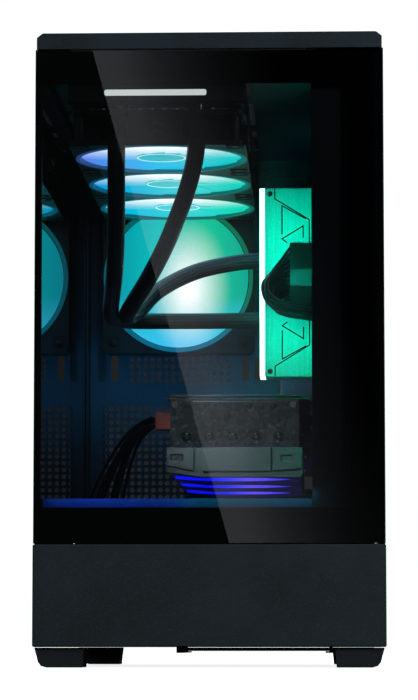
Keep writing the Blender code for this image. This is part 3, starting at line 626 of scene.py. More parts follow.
def make_stage():
    floor = bpy.data.meshes.new("floor")
    side = 30.0
    floor.from_pydata([(-side, -side, 0), (side, -side, 0), (side, side, 0), (-side, side, 0)], [],
                      [(0, 1, 2, 3)])
    floor.materials.append(floor_material())
    stand = link(bpy.data.objects.new("floor", floor))
    stand.location.z = -0.0002
    stand.visible_diffuse = False
    stand.visible_glossy = False
    make_light_card()
    world = bpy.data.worlds.new("studio")
    world.use_nodes = True
    bpy.context.scene.world = world
    tree = world.node_tree
    sky = tree.nodes["Background"]
    path = tree.nodes.new("ShaderNodeLightPath")
    direct = tree.nodes.new("ShaderNodeMath")
    direct.operation = "GREATER_THAN"
    direct.inputs[1].default_value = 0.5
    first = tree.nodes.new("ShaderNodeMath")
    first.operation = "SUBTRACT"
    tree.links.new(path.outputs["Is Camera Ray"], first.inputs[0])
    tree.links.new(path.outputs["Transparent Depth"], first.inputs[1])
    tree.links.new(first.outputs[0], direct.inputs[0])
    level = tree.nodes.new("ShaderNodeMapRange")
    level.inputs["To Min"].default_value = 0.016
    level.inputs["To Max"].default_value = 1.08
    tree.links.new(direct.outputs[0], level.inputs["Value"])
    tree.links.new(level.outputs[0], sky.inputs["Strength"])
    sky.inputs["Color"].default_value = (0.93, 1, 1, 1)
    middle = at(0, 200, 200)
    cool = (0.80, 1.0, 1.12)
    area_light("key", at(1700, -1400, 1300), middle, (1.2, 1.2), 40, cool)
    area_light("fill", at(-1700, -900, 1500), middle, (1.4, 1.4), 12, cool)
    area_light("top", at(0, 100, 2200), middle, (1.6, 1.6), 12)
    area_light("back", at(300, 2600, 1500), middle, (1.6, 1.6), 30)
    bpy.context.scene.view_settings.view_transform = "Standard"


def glow_light(name, place, target, size, power, colour, spread=180):
    """A coloured light inside the case that the camera never sees."""
    light = area_light(name, at(*place), at(*target), size, power, colour)
    light.data.spread = radians(spread)
    light.visible_camera = False
    light.visible_glossy = False


def make_inner_lights():
    teal, green, blue = (0.03, 0.85, 0.75), (0.0, 1.0, 0.45), (0.02, 0.14, 1.0)
    glow_light("roof_glow", (-36, 190, 346), (-36, 190, 100), (0.08, 0.30), 0.06, (0.04, 0.6, 0.9), spread=90)
    glow_light("rear_glow", (-38, 388, 300), (-38, 100, 240), (0.09, 0.09), 0.08, teal, spread=80)
    glow_light("flange_glow", (-38, 352, 214), (-38, 395, 245), (0.13, 0.02), 0.08, (0.01, 0.30, 0.65))
    glow_light("memory_glow", (22, 96, 276), (56, 187, 276), (0.01, 0.12), 0.21, (0.0, 1.0, 0.66), spread=62)
    glow_light("card_front", (-46, 40, 196), (10, 118, 158), (0.05, 0.03), 0.055, (0.85, 1.0, 0.98),
               spread=75)
    glow_light("card_side", (92, 60, 180), (56, 118, 164), (0.01, 0.05), 0.030, (0.0, 1.0, 0.62), spread=70)
    glow_light("fold_glow", (12, 106, 198), (14, 118, 184), (0.06, 0.004), 0.010, (0.0, 0.75, 1.0), spread=60)
    glow_light("bracket_glow", (86, 76, 205), (46, 118, 172), (0.02, 0.03), 0.05, green)
    glow_light("card_glow", (13, 250, 128), (13, 250, 100), (0.09, 0.28), 0.10, (0.10, 0.05, 1.0))
    glow_light("lip_glow", (-62, 5.5, 116), (-62, 12, 108), (0.09, 0.003), 0.024, blue)
    glow_light("lip_glow_right", (24, 5.5, 116), (24, 12, 108), (0.09, 0.003), 0.014, (0.02, 0.55, 0.8))
    glow_light("hose_glow", (-96, 120, 300), (-60, 60, 280), (0.03, 0.12), 0.03, (0.1, 0.35, 1.0))
    glow_light("hose_rim", (-20, 262, 335), (-20, 282, 280), (0.12, 0.02), 0.03, (0.25, 0.25, 1.0))


# ---------------------------------------------------------------- the shell


def paint(node, material, edge=0.0):
    """Gives a CAD node a material, smooth round faces and, if asked, softened edges."""
    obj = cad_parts[node]
    obj.data.materials.clear()
    obj.data.materials.append(MATERIALS[material])
    crisp(obj.data, 35)
    if edge:
        soften(obj, edge)


def ring_plate(axis, outer, inner, low, high):
    """A flat frame: the outline of a plate with a window, as one closed solid."""
    shape = Shape()
    n = len(outer)
    points = [on_axis(axis, u, v, h) for h in (low, high) for line in (outer, inner) for u, v in line]
    faces = []
    for i in range(n):
        k = (i + 1) % n
        faces.append((i, k, n + k, n + i))
        faces.append((2 * n + i, 3 * n + i, 3 * n + k, 2 * n + k))
        faces.append((i, 2 * n + i, 2 * n + k, k))
        faces.append((n + i, n + k, 3 * n + k, 3 * n + i))
    return shape.add(points, faces)


def make_shell():
    for side in ("left", "right"):
        paint(f"foot_front_{side}", "foot", 0.7)
        paint(f"foot_rear_{side}", "foot", 0.7)
    paint("lower_front_panel", "panel")
    paint("top_cap", "cap", 0.3)
    paint("right_side_panel", "steel", 0.3)
    paint("glass_rail", "steel", 0.2)
    paint("base_pan", "steel")
    paint("front_glass", "front_pane")
    paint("side_glass", "side_pane")
    glass = Box("front_glass")
    outer = rounded((glass.x0 + 0.6, glass.x1 - 0.6), (glass.z0 + 0.6, glass.z1 - 0.6), 1.0)
    window = rounded((glass.x0 + 4.2, glass.x1 - 22.7), (glass.z0 + 24, glass.z1 - 23), 1.0)
    back = glass.d1
    border = ring_plate("d", outer, window, back + 0.03, back + 0.10)
    piece("front_glass_border", border, "border", "front_glass")
    seal = Shape().box((glass.x0 + 5, glass.x1 - 3), (back + 0.12, back + 2), (glass.z0 - 0.25, glass.z0 + 3))
    piece("front_glass_seal", seal, "rubber", "front_glass", edge=0.1)
    side = Box("side_glass")
    outer = rounded((side.d0 + 0.6, side.d1 - 0.6), (side.z0 + 0.6, side.z1 - 0.6), 1.0)
    window = rounded((side.d0 + 6, side.d1 - 14), (side.z0 + 28, side.z1 - 16), 1.0)
    border = ring_plate("x", outer, window, side.x1 + 0.03, side.x1 + 0.10)
    piece("side_glass_border", border, "border", "side_glass")


# ---------------------------------------------------------------- more shapes


def append(obj, shape):
    """Adds more solids to an object's mesh."""
    mesh = object_of("extra", shape, obj.data.materials[0])
    work = bmesh.new()
    work.from_mesh(obj.data)
    work.from_mesh(mesh.data)
    work.to_mesh(obj.data)
    work.free()
    bpy.data.objects.remove(mesh)
    crisp(obj.data)


def stroke(points, width):
    """The closed outline of a line of even width drawn through points."""
    places = [Vector(p) for p in points]
    left, right = [], []
    for i, place in enumerate(places):
        back = (place - places[i - 1]).normalized() if i else (places[1] - place).normalized()
        ahead = (places[i + 1] - place).normalized() if i + 1 < len(places) else back
        normal = Vector((-(back + ahead).y, (back + ahead).x)).normalized()
        reach = width / 2 / max(0.35, normal.dot(Vector((-back.y, back.x))))
        left.append(tuple(place + normal * reach))
        right.append(tuple(place - normal * reach))
    return left + right[::-1]


def lathe(shape, axis, centre, profile, sides=48):
    """Rings of (radius, height) closed by a face at each end."""
    n = len(profile)
    points = []
    for r, h in profile:
        points += [on_axis(axis, u, v, h) for u, v in circle(centre, r, sides)]
    faces = [tuple(range(sides)), tuple(range(n * sides - 1, (n - 1) * sides - 1, -1))]
    for i in range(n - 1):
        for j in range(sides):
            k = (j + 1) % sides
            faces.append((i * sides + j, i * sides + k, (i + 1) * sides + k, (i + 1) * sides + j))
    return shape.add(points, faces)


def hexagon(centre, radius):
    return arc(centre, radius, 30, 390, 6)[:-1]


def screw_head(shape, axis, centre, radius, low, high):
    """A round head, low at its face and high at its seat."""
    step = (high - low) * 0.35
    return lathe(shape, axis, centre, [(radius * 0.72, low), (radius, low + step), (radius, high)], 20)


def bundle(shape, knots, loose, tight, radius, count, starts, reach, gather, first_side, sides=8):
    """Wires along one route: each leaves its own socket, hangs loose at first and is then gathered."""
    centre = [Vector(p) for p in smooth_route(knots, count)]
    frames = carried_frames(centre, first_side)
    for start, (a, b), (c, e) in zip(starts, loose, tight):
        route = []
        for i, (place, (side, up)) in enumerate(zip(centre, frames)):
            t = i / count
            held = eased((t - gather[0]) / (gather[1] - gather[0]))
            spot = place + side * (a + (c - a) * held) + up * (b + (e - b) * held)
            free = Vector(start) + (place - centre[0])
            route.append(tuple(free.lerp(spot, eased(t / reach))))
        shape.tube(route, radius, sides)
    return shape


def eased(t):
    t = min(1.0, max(0.0, t))
    return t * t * (3 - 2 * t)


# ---------------------------------------------------------------- the fans


def blades(shape, axis, centre, count, root, tip, low, high, chord, lean, thick=1.0):
    """Curved blades, each a thin closed solid that tapers to its edges."""
    along, across = 10, 8
    u, v = centre
    for number in range(count):
        start = 2 * pi * number / count
        points = []
        for side in (0, 1):
            for i in range(along + 1):
                share = i / along
                radius = root + (tip - root) * share
                lead = start + lean * share * share
                width = chord * (1.0 - 0.10 * share)
                for j in range(across + 1):
                    q = j / across
                    turn = lead + width * q
                    rise = low + (high - low - thick) * (q ** 1.25) * (1 - 0.25 * share)
                    swell = thick * (0.35 + 0.65 * (1 - (2 * q - 1) ** 2))
                    h = rise + (swell if side else 0.0)
                    points.append(on_axis(axis, u + radius * cos(turn), v + radius * sin(turn), h))
        row = across + 1
        top = (along + 1) * row
        faces = []
        for i in range(along):
            for j in range(across):
                a = i * row + j
                faces.append((a, a + 1, a + row + 1, a + row))
                faces.append((top + a, top + a + row, top + a + row + 1, top + a + 1))
        for i in range(along):
            for j in (0, across):
                a = i * row + j
                faces.append((a, a + row, top + a + row, top + a))
        for j in range(across):
            for i in (0, along):
                a = i * row + j
                faces.append((a, a + 1, top + a + 1, top + a))
        shape.add(points, faces)
    return shape


def make_fan(label, axis, frame_node, rotor_node, glow, ring_glow, trim_glow=None):
    """A 120 mm case fan: flanged housing, rubber corners, lit ring, motor struts, rotor and hub cap."""
    seat, turning = Box(frame_node), Box(rotor_node)
    centre = (seat.x, seat.d) if axis == "z" else (seat.x, seat.z)
    low, high = (seat.z0, seat.z1) if axis == "z" else (seat.d0, seat.d1)
    rotor_low, rotor_high = (turning.z0, turning.z1) if axis == "z" else (turning.d0, turning.d1)
    u, v = centre
    half = (seat.x1 - seat.x0) / 2
    bore, flange, pad = 57.5, 3.4, 0.5
    corners = [(a, b) for a in (-1, 1) for b in (-1, 1)]
    outline = rounded((u - half, u + half), (v - half, v + half), 5, 6)
    housing = Shape().prism(axis, outline, low + pad, high)
    screws, pockets, posts, pads, heads = Shape(), Shape(), Shape(), Shape(), Shape()
    for a, b in corners:
        spot = (u + a * FAN_SCREW, v + b * FAN_SCREW)
        screws.rod(axis, spot, 2.2, low - 1, high + 1, 16)
        rim = [(u + a * p, v + b * q) for p, q in arc((0, 0), 59.3, 16, 74, 12)]
        rim += [(u + a * 16.3, v + b * 62), (u + a * 62, v + b * 62), (u + a * 62, v + b * 16.3)]
        pockets.prism(axis, rim, low + pad + flange, high - flange)
        posts.turned(axis, spot, [(2.4, low + pad + 1), (4.4, low + pad + 1), (4.4, high - 1),
                                  (2.4, high - 1)], 20)
        square = rounded((spot[0] - 6.2, spot[0] + 6.2), (spot[1] - 6.2, spot[1] + 6.2), 2.0, 4)
        pads.join(ring_plate(axis, square, circle(spot, 3.6, len(square)), low, low + pad + 0.1))
        screw_head(heads, axis, spot, 3.2, low + 0.15, low + pad + 0.2)
    opening = Shape().rod(axis, centre, bore, low - 1, high + 1, 96)
    body = piece(f"{label}_housing", housing, "plastic", replaces=[frame_node],
                 cuts=[opening, screws, pockets])
    strut = high - 3
    motor = lathe(Shape(), axis, centre, [(18.2, strut), (20, strut + 0.8), (20, strut + 3)], 48)
    for quarter in range(4):
        turn = pi / 2 * quarter
        edge = [(19, -2.1), (58.4, -1.3), (58.4, 1.3), (19, 2.1)]
        arm = [(u + p * cos(turn) - q * sin(turn), v + p * sin(turn) + q * cos(turn)) for p, q in edge]
        motor.prism(axis, arm, strut + 0.4, strut + 2.6)
    append(body, motor)
    append(body, posts)
    piece(f"{label}_corner_pads", pads, "rubber")
    piece(f"{label}_screws", heads, "screw")
    ring = [(56.2, low + 0.3), (56.5, low), (59.3, low), (59.3, low + pad), (57.45, low + pad),
            (57.45, low + 4),
            (56.2, low + 4)]
    piece(f"{label}_ring", Shape().turned(axis, centre, ring, 96), ring_glow)
    reach = rotor_high - rotor_low
    wings = blades(Shape(), axis, centre, 9, 18.4, 55.5, rotor_low + 0.4, rotor_low + 0.4 + reach * 0.11,
                   2 * pi / 9 * 1.26, 0.35)
    piece(f"{label}_blades", wings, glow, rotor_node, replaces=[rotor_node])
    hub = lathe(Shape(), axis, centre, [(17.2, rotor_low + 0.2), (19, rotor_low + 1.7), (19, rotor_high)], 64)
    piece(f"{label}_hub", hub, "hub_teal" if trim_glow else glow, rotor_node)
    trim = [(16.2, rotor_low), (17.0, rotor_low), (17.0, rotor_low + 0.35), (16.2, rotor_low + 0.35)]
    trim_shape = Shape().turned(axis, centre, trim, 64)
    piece(f"{label}_hub_trim", trim_shape, trim_glow or glow, rotor_node)


def make_case_fans():
    for number in (1, 2, 3):
        make_fan(f"radiator_fan_{number}", "z", f"radiator_fan_frame_{number}",
                 f"radiator_fan_rotor_{number}",
                 f"disc_{number}", f"rim_{number}", "white_glow")
    make_fan("rear_fan", "d", "rear_fan_frame", "rear_fan_rotor", "disc_rear", "rim_rear")
    first = Box("radiator_fan_frame_1")
    marks = Shape()
    for shift in (0, 6):
        points = [(first.x - 3.8, first.z0 + 8 + shift), (first.x, first.z0 + 11 + shift),
                  (first.x + 3.8, first.z0 + 8 + shift)]
        marks.prism("d", stroke(points, 1.2), first.d0 - 0.02, first.d0 + 0.3)
    piece("fan_chevrons", marks, "white_mark")


# ---------------------------------------------------------------- the cooling


def make_radiator():
    rad = Box("radiator")
    left, right = rad.x0, rad.x1
    tank_low, tank_high = 375.2, rad.z1
    tanks = Shape()
    for front, back in ((rad.d0 + 0.3, rad.d0 + 19.5), (rad.d1 - 17.5, rad.d1)):
        outline = rounded((front, back), (tank_low, tank_high), 2.6, 5)
        tanks.prism("x", outline, left, right)
    front, back = rad.d0 + 19.5, rad.d1 - 17.5
    rails = Shape()
    for x in (left, right - 1.6):
        rails.box((x, x + 1.6), (front - 0.5, back + 0.5), (377, 400))
    for k in range(6):
        d = front + (back - front) * k / 6
        for x in (left + 1.6, right - 5.4):
            rails.box((x, x + 3.8), (d + 2, d + 6), (377, 377.8))
    body = piece("radiator_body", tanks, "radiator", replaces=["radiator"], edge=0.5)
    append(body, rails)
    tubes = Shape()
    for x in spaced(left + 5, right - 5, 14):
        tubes.box((x - 0.9, x + 0.9), (front - 0.5, back + 0.5), (378, 399.6))
    piece("radiator_tubes", tubes, "radiator")
    fins = Shape()
    for d in spaced(front + 1, back - 1, 170):
        fins.box((left + 1.8, right - 1.8), (d - 0.12, d + 0.12), (378.6, 399.2))
    piece("radiator_fins", fins, "radiator")
    strip = rounded((left + 24.6, right - 25.0), (380.9, 385.0), 1.4, 4)
    # the label glows: painted light
    piece("radiator_label", Shape().prism("d", strip, rad.d0 + 0.08, rad.d0 + 0.45), "label")
    fittings = Shape()
    for x in FITTINGS_X:
        profile = [(6.4, 366.7), (6.9, 367.4), (6.9, 371.4), (6.2, 371.8), (6.2, 372.6), (7.0, 373.0),
                   (7.0, 375.6)]
        lathe(fittings, "z", (x, FITTING_D), profile, 40)
    lathe(fittings, "x", (FITTING_D, 388.6), [(4.2, left + 0.2), (4.6, left + 0.8), (4.6, left + 2)], 24)
    piece("radiator_fittings", fittings, "gloss")


HOSE_LEFT = [
    (-62, 16.7, 366.3), (-62, 16.7, 360), (-62.8, 17.8, 347), (-63.2, 23, 331), (-64, 36, 312),
    (-66, 62, 288), (-69.5, 98, 270), (-74, 140, 260), (-77.5, 185, 255.5), (-77.5, 225, 254.6),
    (-68.5, 256, 255.8), (-46, 276, 257.6), (-8, 284, 258.4), (26, 281, 258.5), (37, 278, 258.5),
    (43.7, 278, 258.5),
]
HOSE_RIGHT = [
    (-8, 16.7, 366.3), (-8, 16.7, 360), (-9.2, 18.2, 347), (-12, 25, 333), (-19, 45, 315),
    (-32, 76, 290), (-46, 108, 270), (-57, 136, 258), (-64, 164, 252), (-65.5, 194, 252),
    (-60, 226, 260), (-46, 257, 279), (-20, 277, 295), (12, 282, 302.5), (36, 278, 303.5),
    (43.7, 278, 303.5),
]


def make_hoses():
    for side, knots in (("left", HOSE_LEFT), ("right", HOSE_RIGHT)):
        route = smooth_route(knots, 150)
        sleeve = Shape().tube(route, 6.0, 28)
        piece(f"hose_{side}_braid", sleeve, "hose", replaces=[f"hose_{side}"])
        collars = Shape()
        x = knots[0][0]
        lathe(collars, "z", (x, FITTING_D), [(6.5, 353.2), (6.8, 353.8), (6.8, 365.6), (6.4, 366.2)], 36)
        z = knots[-1][2]
        lathe(collars, "x", (ELBOW_D, z), [(6.5, 32.0), (6.8, 32.6), (6.8, 43.2), (6.4, 43.7)], 36)
        piece(f"hose_{side}_collars", collars, "rubber")


def make_pump():
    axis = (318, 281)
    body = Shape()
    lathe(body, "x", axis, [(29.6, 46.4), (31.2, 47.4), (32, 49.4), (32, 66), (31, 66.6), (31, 67.6),
                            (32, 68.2),
                            (32, 76.6)], 72)
    piece("pump_body", body, "gloss", replaces=["pump_block"])
    ring = Shape().turned("x", axis, [(24.6, 46.05), (26.8, 46.05), (26.8, 47.2), (24.6, 47.2)], 72)
    piece("pump_light_ring", ring, "ring_cyan")
    face = lathe(Shape(), "x", axis, [(23.8, 46.15), (24.4, 46.6), (24.4, 47.2)], 64)
    piece("pump_face", face, "plastic")
    base = lathe(Shape(), "x", axis, [(27, 76.6), (27, 79.8)], 48)
    piece("pump_cold_plate", base, "nickel")
    outline = rounded((axis[0] - 41, axis[0] + 41), (axis[1] - 41, axis[1] + 41), 7, 6)
    cuts = [Shape().rod("x", axis, 30, 70, 80, 48)]
    windows = Shape()
    for a, b in ((0, 1), (0, -1), (1, 0), (-1, 0)):
        middle = (axis[0] + a * 40, axis[1] + b * 40)
        windows.prism("x", rounded((middle[0] - 17, middle[0] + 17), (middle[1] - 7, middle[1] + 7), 6.5, 5),
                      70, 80)
    plate = Shape().prism("x", outline, 74, 76.4)
    piece("pump_bracket", plate, "steel_bright", cuts=[*cuts, windows], edge=0.3)
    screws = Shape()
    for a in (-1, 1):
        for b in (-1, 1):
            spot = (axis[0] + a * 35.5, axis[1] + b * 35.5)
            lathe(screws, "x", spot, [(3.4, 68.0), (4.0, 68.6), (4.0, 73.9)], 24)
    piece("pump_screws", screws, "nickel")
    elbows = Shape()
    for z in ELBOWS_Z:
        profile = [(6.4, 44.0), (7.0, 44.6), (7.0, 48.6), (6.5, 49.0), (6.5, 52.6), (7.0, 53.0), (7.0, 65.4)]
        lathe(elbows, "x", (ELBOW_D, z), profile, 36)
        lathe(elbows, "d", (58, z), [(5.4, 279), (5.4, 296)], 28)
    piece("pump_elbows", elbows, "gloss", edge=0.3)


# ---------------------------------------------------------------- the electronics


def memory_pattern(ram, face):
    """The raised lines and screws on one face of a memory module's heat spreader."""
    lines, screws = Shape(), Shape()
    low, high = (ram.d0 + 0.02, ram.d0 + 0.5) if face < 0 else (ram.d1 - 0.5, ram.d1 - 0.02)
    length = ram.z1 - ram.z0
    halves = [
        [(11.1, 0.4), (11.1, 7.7), (36, 23)],
        [(16.3, 33.7), (16.3, 12.8), (33.7, 22.5)],
        [(20, 39.8), (16.3, 37), (31.6, 27.6), (31.6, 36.2)],
        [(40.6, 4), (40.6, 60)],
        [(36, 23), (36, 58)],
    ]
    for points in halves:
        for flip in (False, True):
            path = [(ram.x0 + u, ram.z1 - (length - v if flip else v)) for u, v in points]
            lines.prism("d", stroke(path, 0.9), low, high)
    lines.prism("d", stroke([(ram.x0 + 24, ram.z1 - 48), (ram.x0 + 17, ram.z1 - length / 2),
                             (ram.x0 + 24, ram.z0 + 48)], 0.9), low, high)
    for u, v in ((7.5, 4), (7.5, length - 4), (33, length / 2)):
        spot = (ram.x0 + u, ram.z1 - v)
        if face < 0:
            lathe(screws, "d", spot, [(1.5, ram.d0 + 0.02), (1.9, ram.d0 + 0.15), (1.9, ram.d0 + 0.6)], 20)
        else:
            lathe(screws, "d", spot, [(1.9, ram.d1 - 0.6), (1.9, ram.d1 - 0.15), (1.5, ram.d1 - 0.02)], 20)
    return lines, screws


def make_memory():
    for number in (1, 2):
        ram = Box(f"ram_{number}")
        plate_end = 76.5
        spreader = Shape()
        for a, b in ((ram.d0 + 0.3, ram.d0 + 1.5), (ram.d1 - 1.5, ram.d1 - 0.3)):
            outline = [(ram.x0 + 3.8, ram.z0), (plate_end - 3, ram.z0), (plate_end, ram.z0 + 4)]
            outline += [(plate_end, ram.z1 - 4), (plate_end - 3, ram.z1), (ram.x0 + 3.8, ram.z1)]
            spreader.prism("d", outline, a, b)
        piece(f"memory_{number}_spreaders", spreader, "spreader", replaces=[f"ram_{number}"],
              edge=0.25)
        bar = Shape().prism("z", rounded((ram.x0, ram.x0 + 4.6), (ram.d0 + 0.5, ram.d1 - 0.5), 1.6, 5),
                            ram.z0, ram.z1)
        piece(f"memory_{number}_light_bar", bar, "bar", edge=0.3)
        for face, name in ((-1, "front"), (1, "back")):
            lines, screws = memory_pattern(ram, face)
            piece(f"memory_{number}_{name}_lines", lines, "border")
            piece(f"memory_{number}_{name}_screws", screws, "nickel")
        card = Shape().box((ram.x0 + 5, ram.x1), (ram.d - 0.6, ram.d + 0.6), (ram.z0 + 1.5, ram.z1 - 1.5))
        piece(f"memory_{number}_card", card, "board")
        contacts = Shape()
        for z in spaced(ram.z0 + 6, ram.z1 - 6, 72):
            contacts.box((ram.x1 - 3.6, ram.x1 - 0.1), (ram.d - 0.68, ram.d + 0.68), (z - 0.5, z + 0.5))
        piece(f"memory_{number}_contacts", contacts, "gold")


def make_motherboard():
    box = Box("motherboard")
    face = BOARD_FACE
    pcb = Shape().prism("x", rounded((box.d0, box.d1), (box.z0, box.z1), 1.5, 3), face, face + 1.6)
    post_spots = [(d, z) for d in (182, 300, 412) for z in (118, 236, 350)]
    holes = Shape()
    for spot in post_spots:
        holes.rod("x", spot, 1.9, face - 1, face + 3, 16)
    piece("main_board", pcb, "board", replaces=["motherboard"], cuts=[holes])
    posts = Shape()
    for spot in post_spots:
        posts.prism("x", hexagon(spot, 2.8), face + 1.6, 91.8)
        screw_head(posts, "x", spot, 3.2, face - 1.2, face)
    piece("board_posts", posts, "gold")
    sockets = Shape()
    latches = Shape()
    for k in range(4):
        d = 190 + 9.6 * k
        sockets.box((77.9, face), (d - 3.1, d - 0.8), (206, 346)).box((77.9, face), (d + 0.8, d + 3.1),
                                                                      (206, 346))
        sockets.box((82.6, face), (d - 0.8, d + 0.8), (206, 346))
        for z in (204, 346.6):
            latches.box((74.5, face), (d - 2.4, d + 2.4), (z - 2.2, z + 2.2))
    piece("memory_sockets", sockets, "plastic", edge=0.2)
    piece("memory_latches", latches, "rubber", edge=0.5)
    slots = Shape()
    for d0, d1, z0, z1 in ((286, 376, 182.6, 190.2), (350, 376, 125, 132)):
        slots.box((73.5, face), (d0, d1), (z0, z0 + 2.6)).box((73.5, face), (d0, d1), (z1 - 2.6, z1))
        slots.box((80, face), (d0, d1), (z0, z1)).box((73.5, face), (d0, d0 + 2), (z0, z1))
        slots.box((73.5, face), (d1 - 2, d1), (z0, z1))
    piece("card_slots", slots, "plastic", edge=0.2)
    ports = Shape()
    for z0, z1, depth in ((206, 224, 22), (228, 244, 20), (248, 264, 20), (268, 284, 20), (288, 304, 22),
                          (308, 340, 14)):
        ports.box((50, face), (418.3 - depth, 418.3), (z0, z1))
    piece("rear_port_shells", ports, "steel_bright", edge=0.4)
    outer, inner = rounded((288, 348), (250, 312), 3, 4), rounded((298, 338), (261, 301), 1, 4)
    socket = ring_plate("x", outer, inner, 80.4, face)
    piece("processor_socket", socket, "steel_bright", edge=0.3)
    paint("cpu", "nickel", 0.3)
    chokes = Shape()
    for k in range(8):
        chokes.box((77.5, face), (262 + 11.5 * k, 270.5 + 11.5 * k), (314, 322.4))
    for k in range(6):
        chokes.box((77.5, face), (362, 370), (248 + 11 * k, 257 + 11 * k))
    piece("chokes", chokes, "grey", edge=0.6)
    cans, tops = Shape(), Shape()
    spots = [(264 + 9 * k, 308) for k in range(9)] + [(356, 250 + 9 * k) for k in range(6)]
    spots += [(262 + 12 * k, 166) for k in range(3)] + [(404, 128 + 10 * k) for k in range(5)]
    for spot in spots:
        cans.rod("x", spot, 2.7, 77.8, face, 20)
        tops.rod("x", spot, 2.5, 77.5, 77.85, 20)
    piece("capacitors", cans, "plastic", edge=0.3)
    piece("capacitor_tops", tops, "nickel")
    headers, pins = Shape(), Shape()
    rows = [(180 + 26 * k, 115.5, 8) for k in range(6)] + [(180, 330, 4), (180, 318, 4), (262, 352, 4),
                                                           (276, 352, 4)]
    for d0, z0, count in rows:
        headers.box((81.6, face), (d0, d0 + 2.54 * count), (z0 - 1.3, z0 + 1.3))
        for k in range(count):
            d = d0 + 1.27 + 2.54 * k
            pins.box((75.8, face), (d - 0.32, d + 0.32), (z0 - 0.32, z0 + 0.32))
    piece("pin_headers", headers, "plastic")
    piece("header_pins", pins, "gold")
    chips = Shape()
    for d, z, a, b in ((226, 186, 9, 9), (390, 176, 7, 7), (392, 240, 6, 6), (270, 226, 5, 8),
                       (330, 232, 6, 4), (200, 128, 4, 6),
                       (266, 130, 8, 5), (310, 150, 5, 5), (400, 196, 5, 5)):
        chips.box((82.6, face), (d - a, d + a), (z - b, z + b))
    piece("chips", chips, "plastic", edge=0.15)
    slab = Shape().prism("x", rounded((262, 346), (204, 224), 2.5, 4), 79.5, face - 0.4)
    grooves = Shape()
    for k in range(7):
        grooves.box((79, 80.3), (270 + 11 * k, 272 + 11 * k), (202, 226))
    piece("drive_heatsink", slab, "pale", cuts=[grooves], edge=0.3)
    battery = lathe(Shape(), "x", (376, 150), [(9.6, 80.8), (10, 81.2), (10, 83.6)], 40)
    piece("clock_battery", battery, "nickel")
    outer, inner = rounded((175.6, 186), (252, 304), 0.6, 2), rounded((177, 184.6), (253.4, 302.6), 0.4, 2)
    header = ring_plate("x", outer, inner, 71.4, face)
    piece("power_header", header, "plastic")
    paint("vrm_heatsink", "pale", 0.25)
    fins = Shape().box((79.4, face - 0.4), (196, 246), (126, 172))
    for k in range(9):
        fins.box((75.8, 80), (197 + 5.8 * k, 199.4 + 5.8 * k), (127, 171))
    piece("chipset_heatsink", fins, "pale", edge=0.2)
    paint("io_cover", "pale", 0.5)


def make_power_plug():
    plug = Box("atx_plug")
    face = plug.x0
    body = Shape().prism("x", rounded((plug.d0 + 1.9, plug.d1), (plug.z0, plug.z1), 0.8, 3), face, plug.x1)
    sockets = Shape()
    starts = []
    for k in range(12):
        for j in range(2):
            spot = (plug.d0 + 4.6 + 4.3 * j, plug.z0 + 2.2 + 4.25 * k)
            hole = rounded((spot[0] - 1.75, spot[0] + 1.75), (spot[1] - 1.75, spot[1] + 1.75), 0.4, 2)
            sockets.prism("x", hole, face - 1, face + 3)
            starts.append((face + 2.4, *spot))
    piece("main_plug", body, "plug", replaces=["atx_plug"], cuts=[sockets], edge=0.25)
    latch = Shape().box((face + 0.4, plug.x1 - 3), (plug.d0 + 0.1, plug.d0 + 1.2), (272, 284))
    latch.box((plug.x1 - 8, plug.x1 - 3), (plug.d0 + 0.4, plug.d0 + 2.2), (273, 283))
    piece("main_plug_latch", latch, "plastic", edge=0.2)
    knots = [(face + 2.4, 180.8, 278), (face - 5, 180.8, 277.5), (43.5, 177, 274.5), (38.5, 169, 267),
             (40.5, 158, 258), (50, 151, 252.5), (70, 147.5, 249), (90, 148.5, 245), (101, 150, 232),
             (104, 151, 205), (104, 152, 160), (104, 158, 118), (102, 176, 86), (93, 202, 66), (80, 232, 57),
             (66, 258, 55), (61, 272, 55), (61, 279.6, 55)]
    loose = [((i // 2 - 5.5) * 1.55, (i % 2 - 0.5) * 4.4 + 0.9 * sin(i * 2.4)) for i in range(24)]
    tight = [((i // 4 - 2.5) * 2.05, (i % 4 - 1.5) * 2.05) for i in range(24)]
    wires = bundle(Shape(), knots, loose, tight, 0.92, 96, starts, 0.10, (0.16, 0.30), (0, 0, 1))
    piece("main_power_wires", wires, "wire", replaces=["atx_cable"])


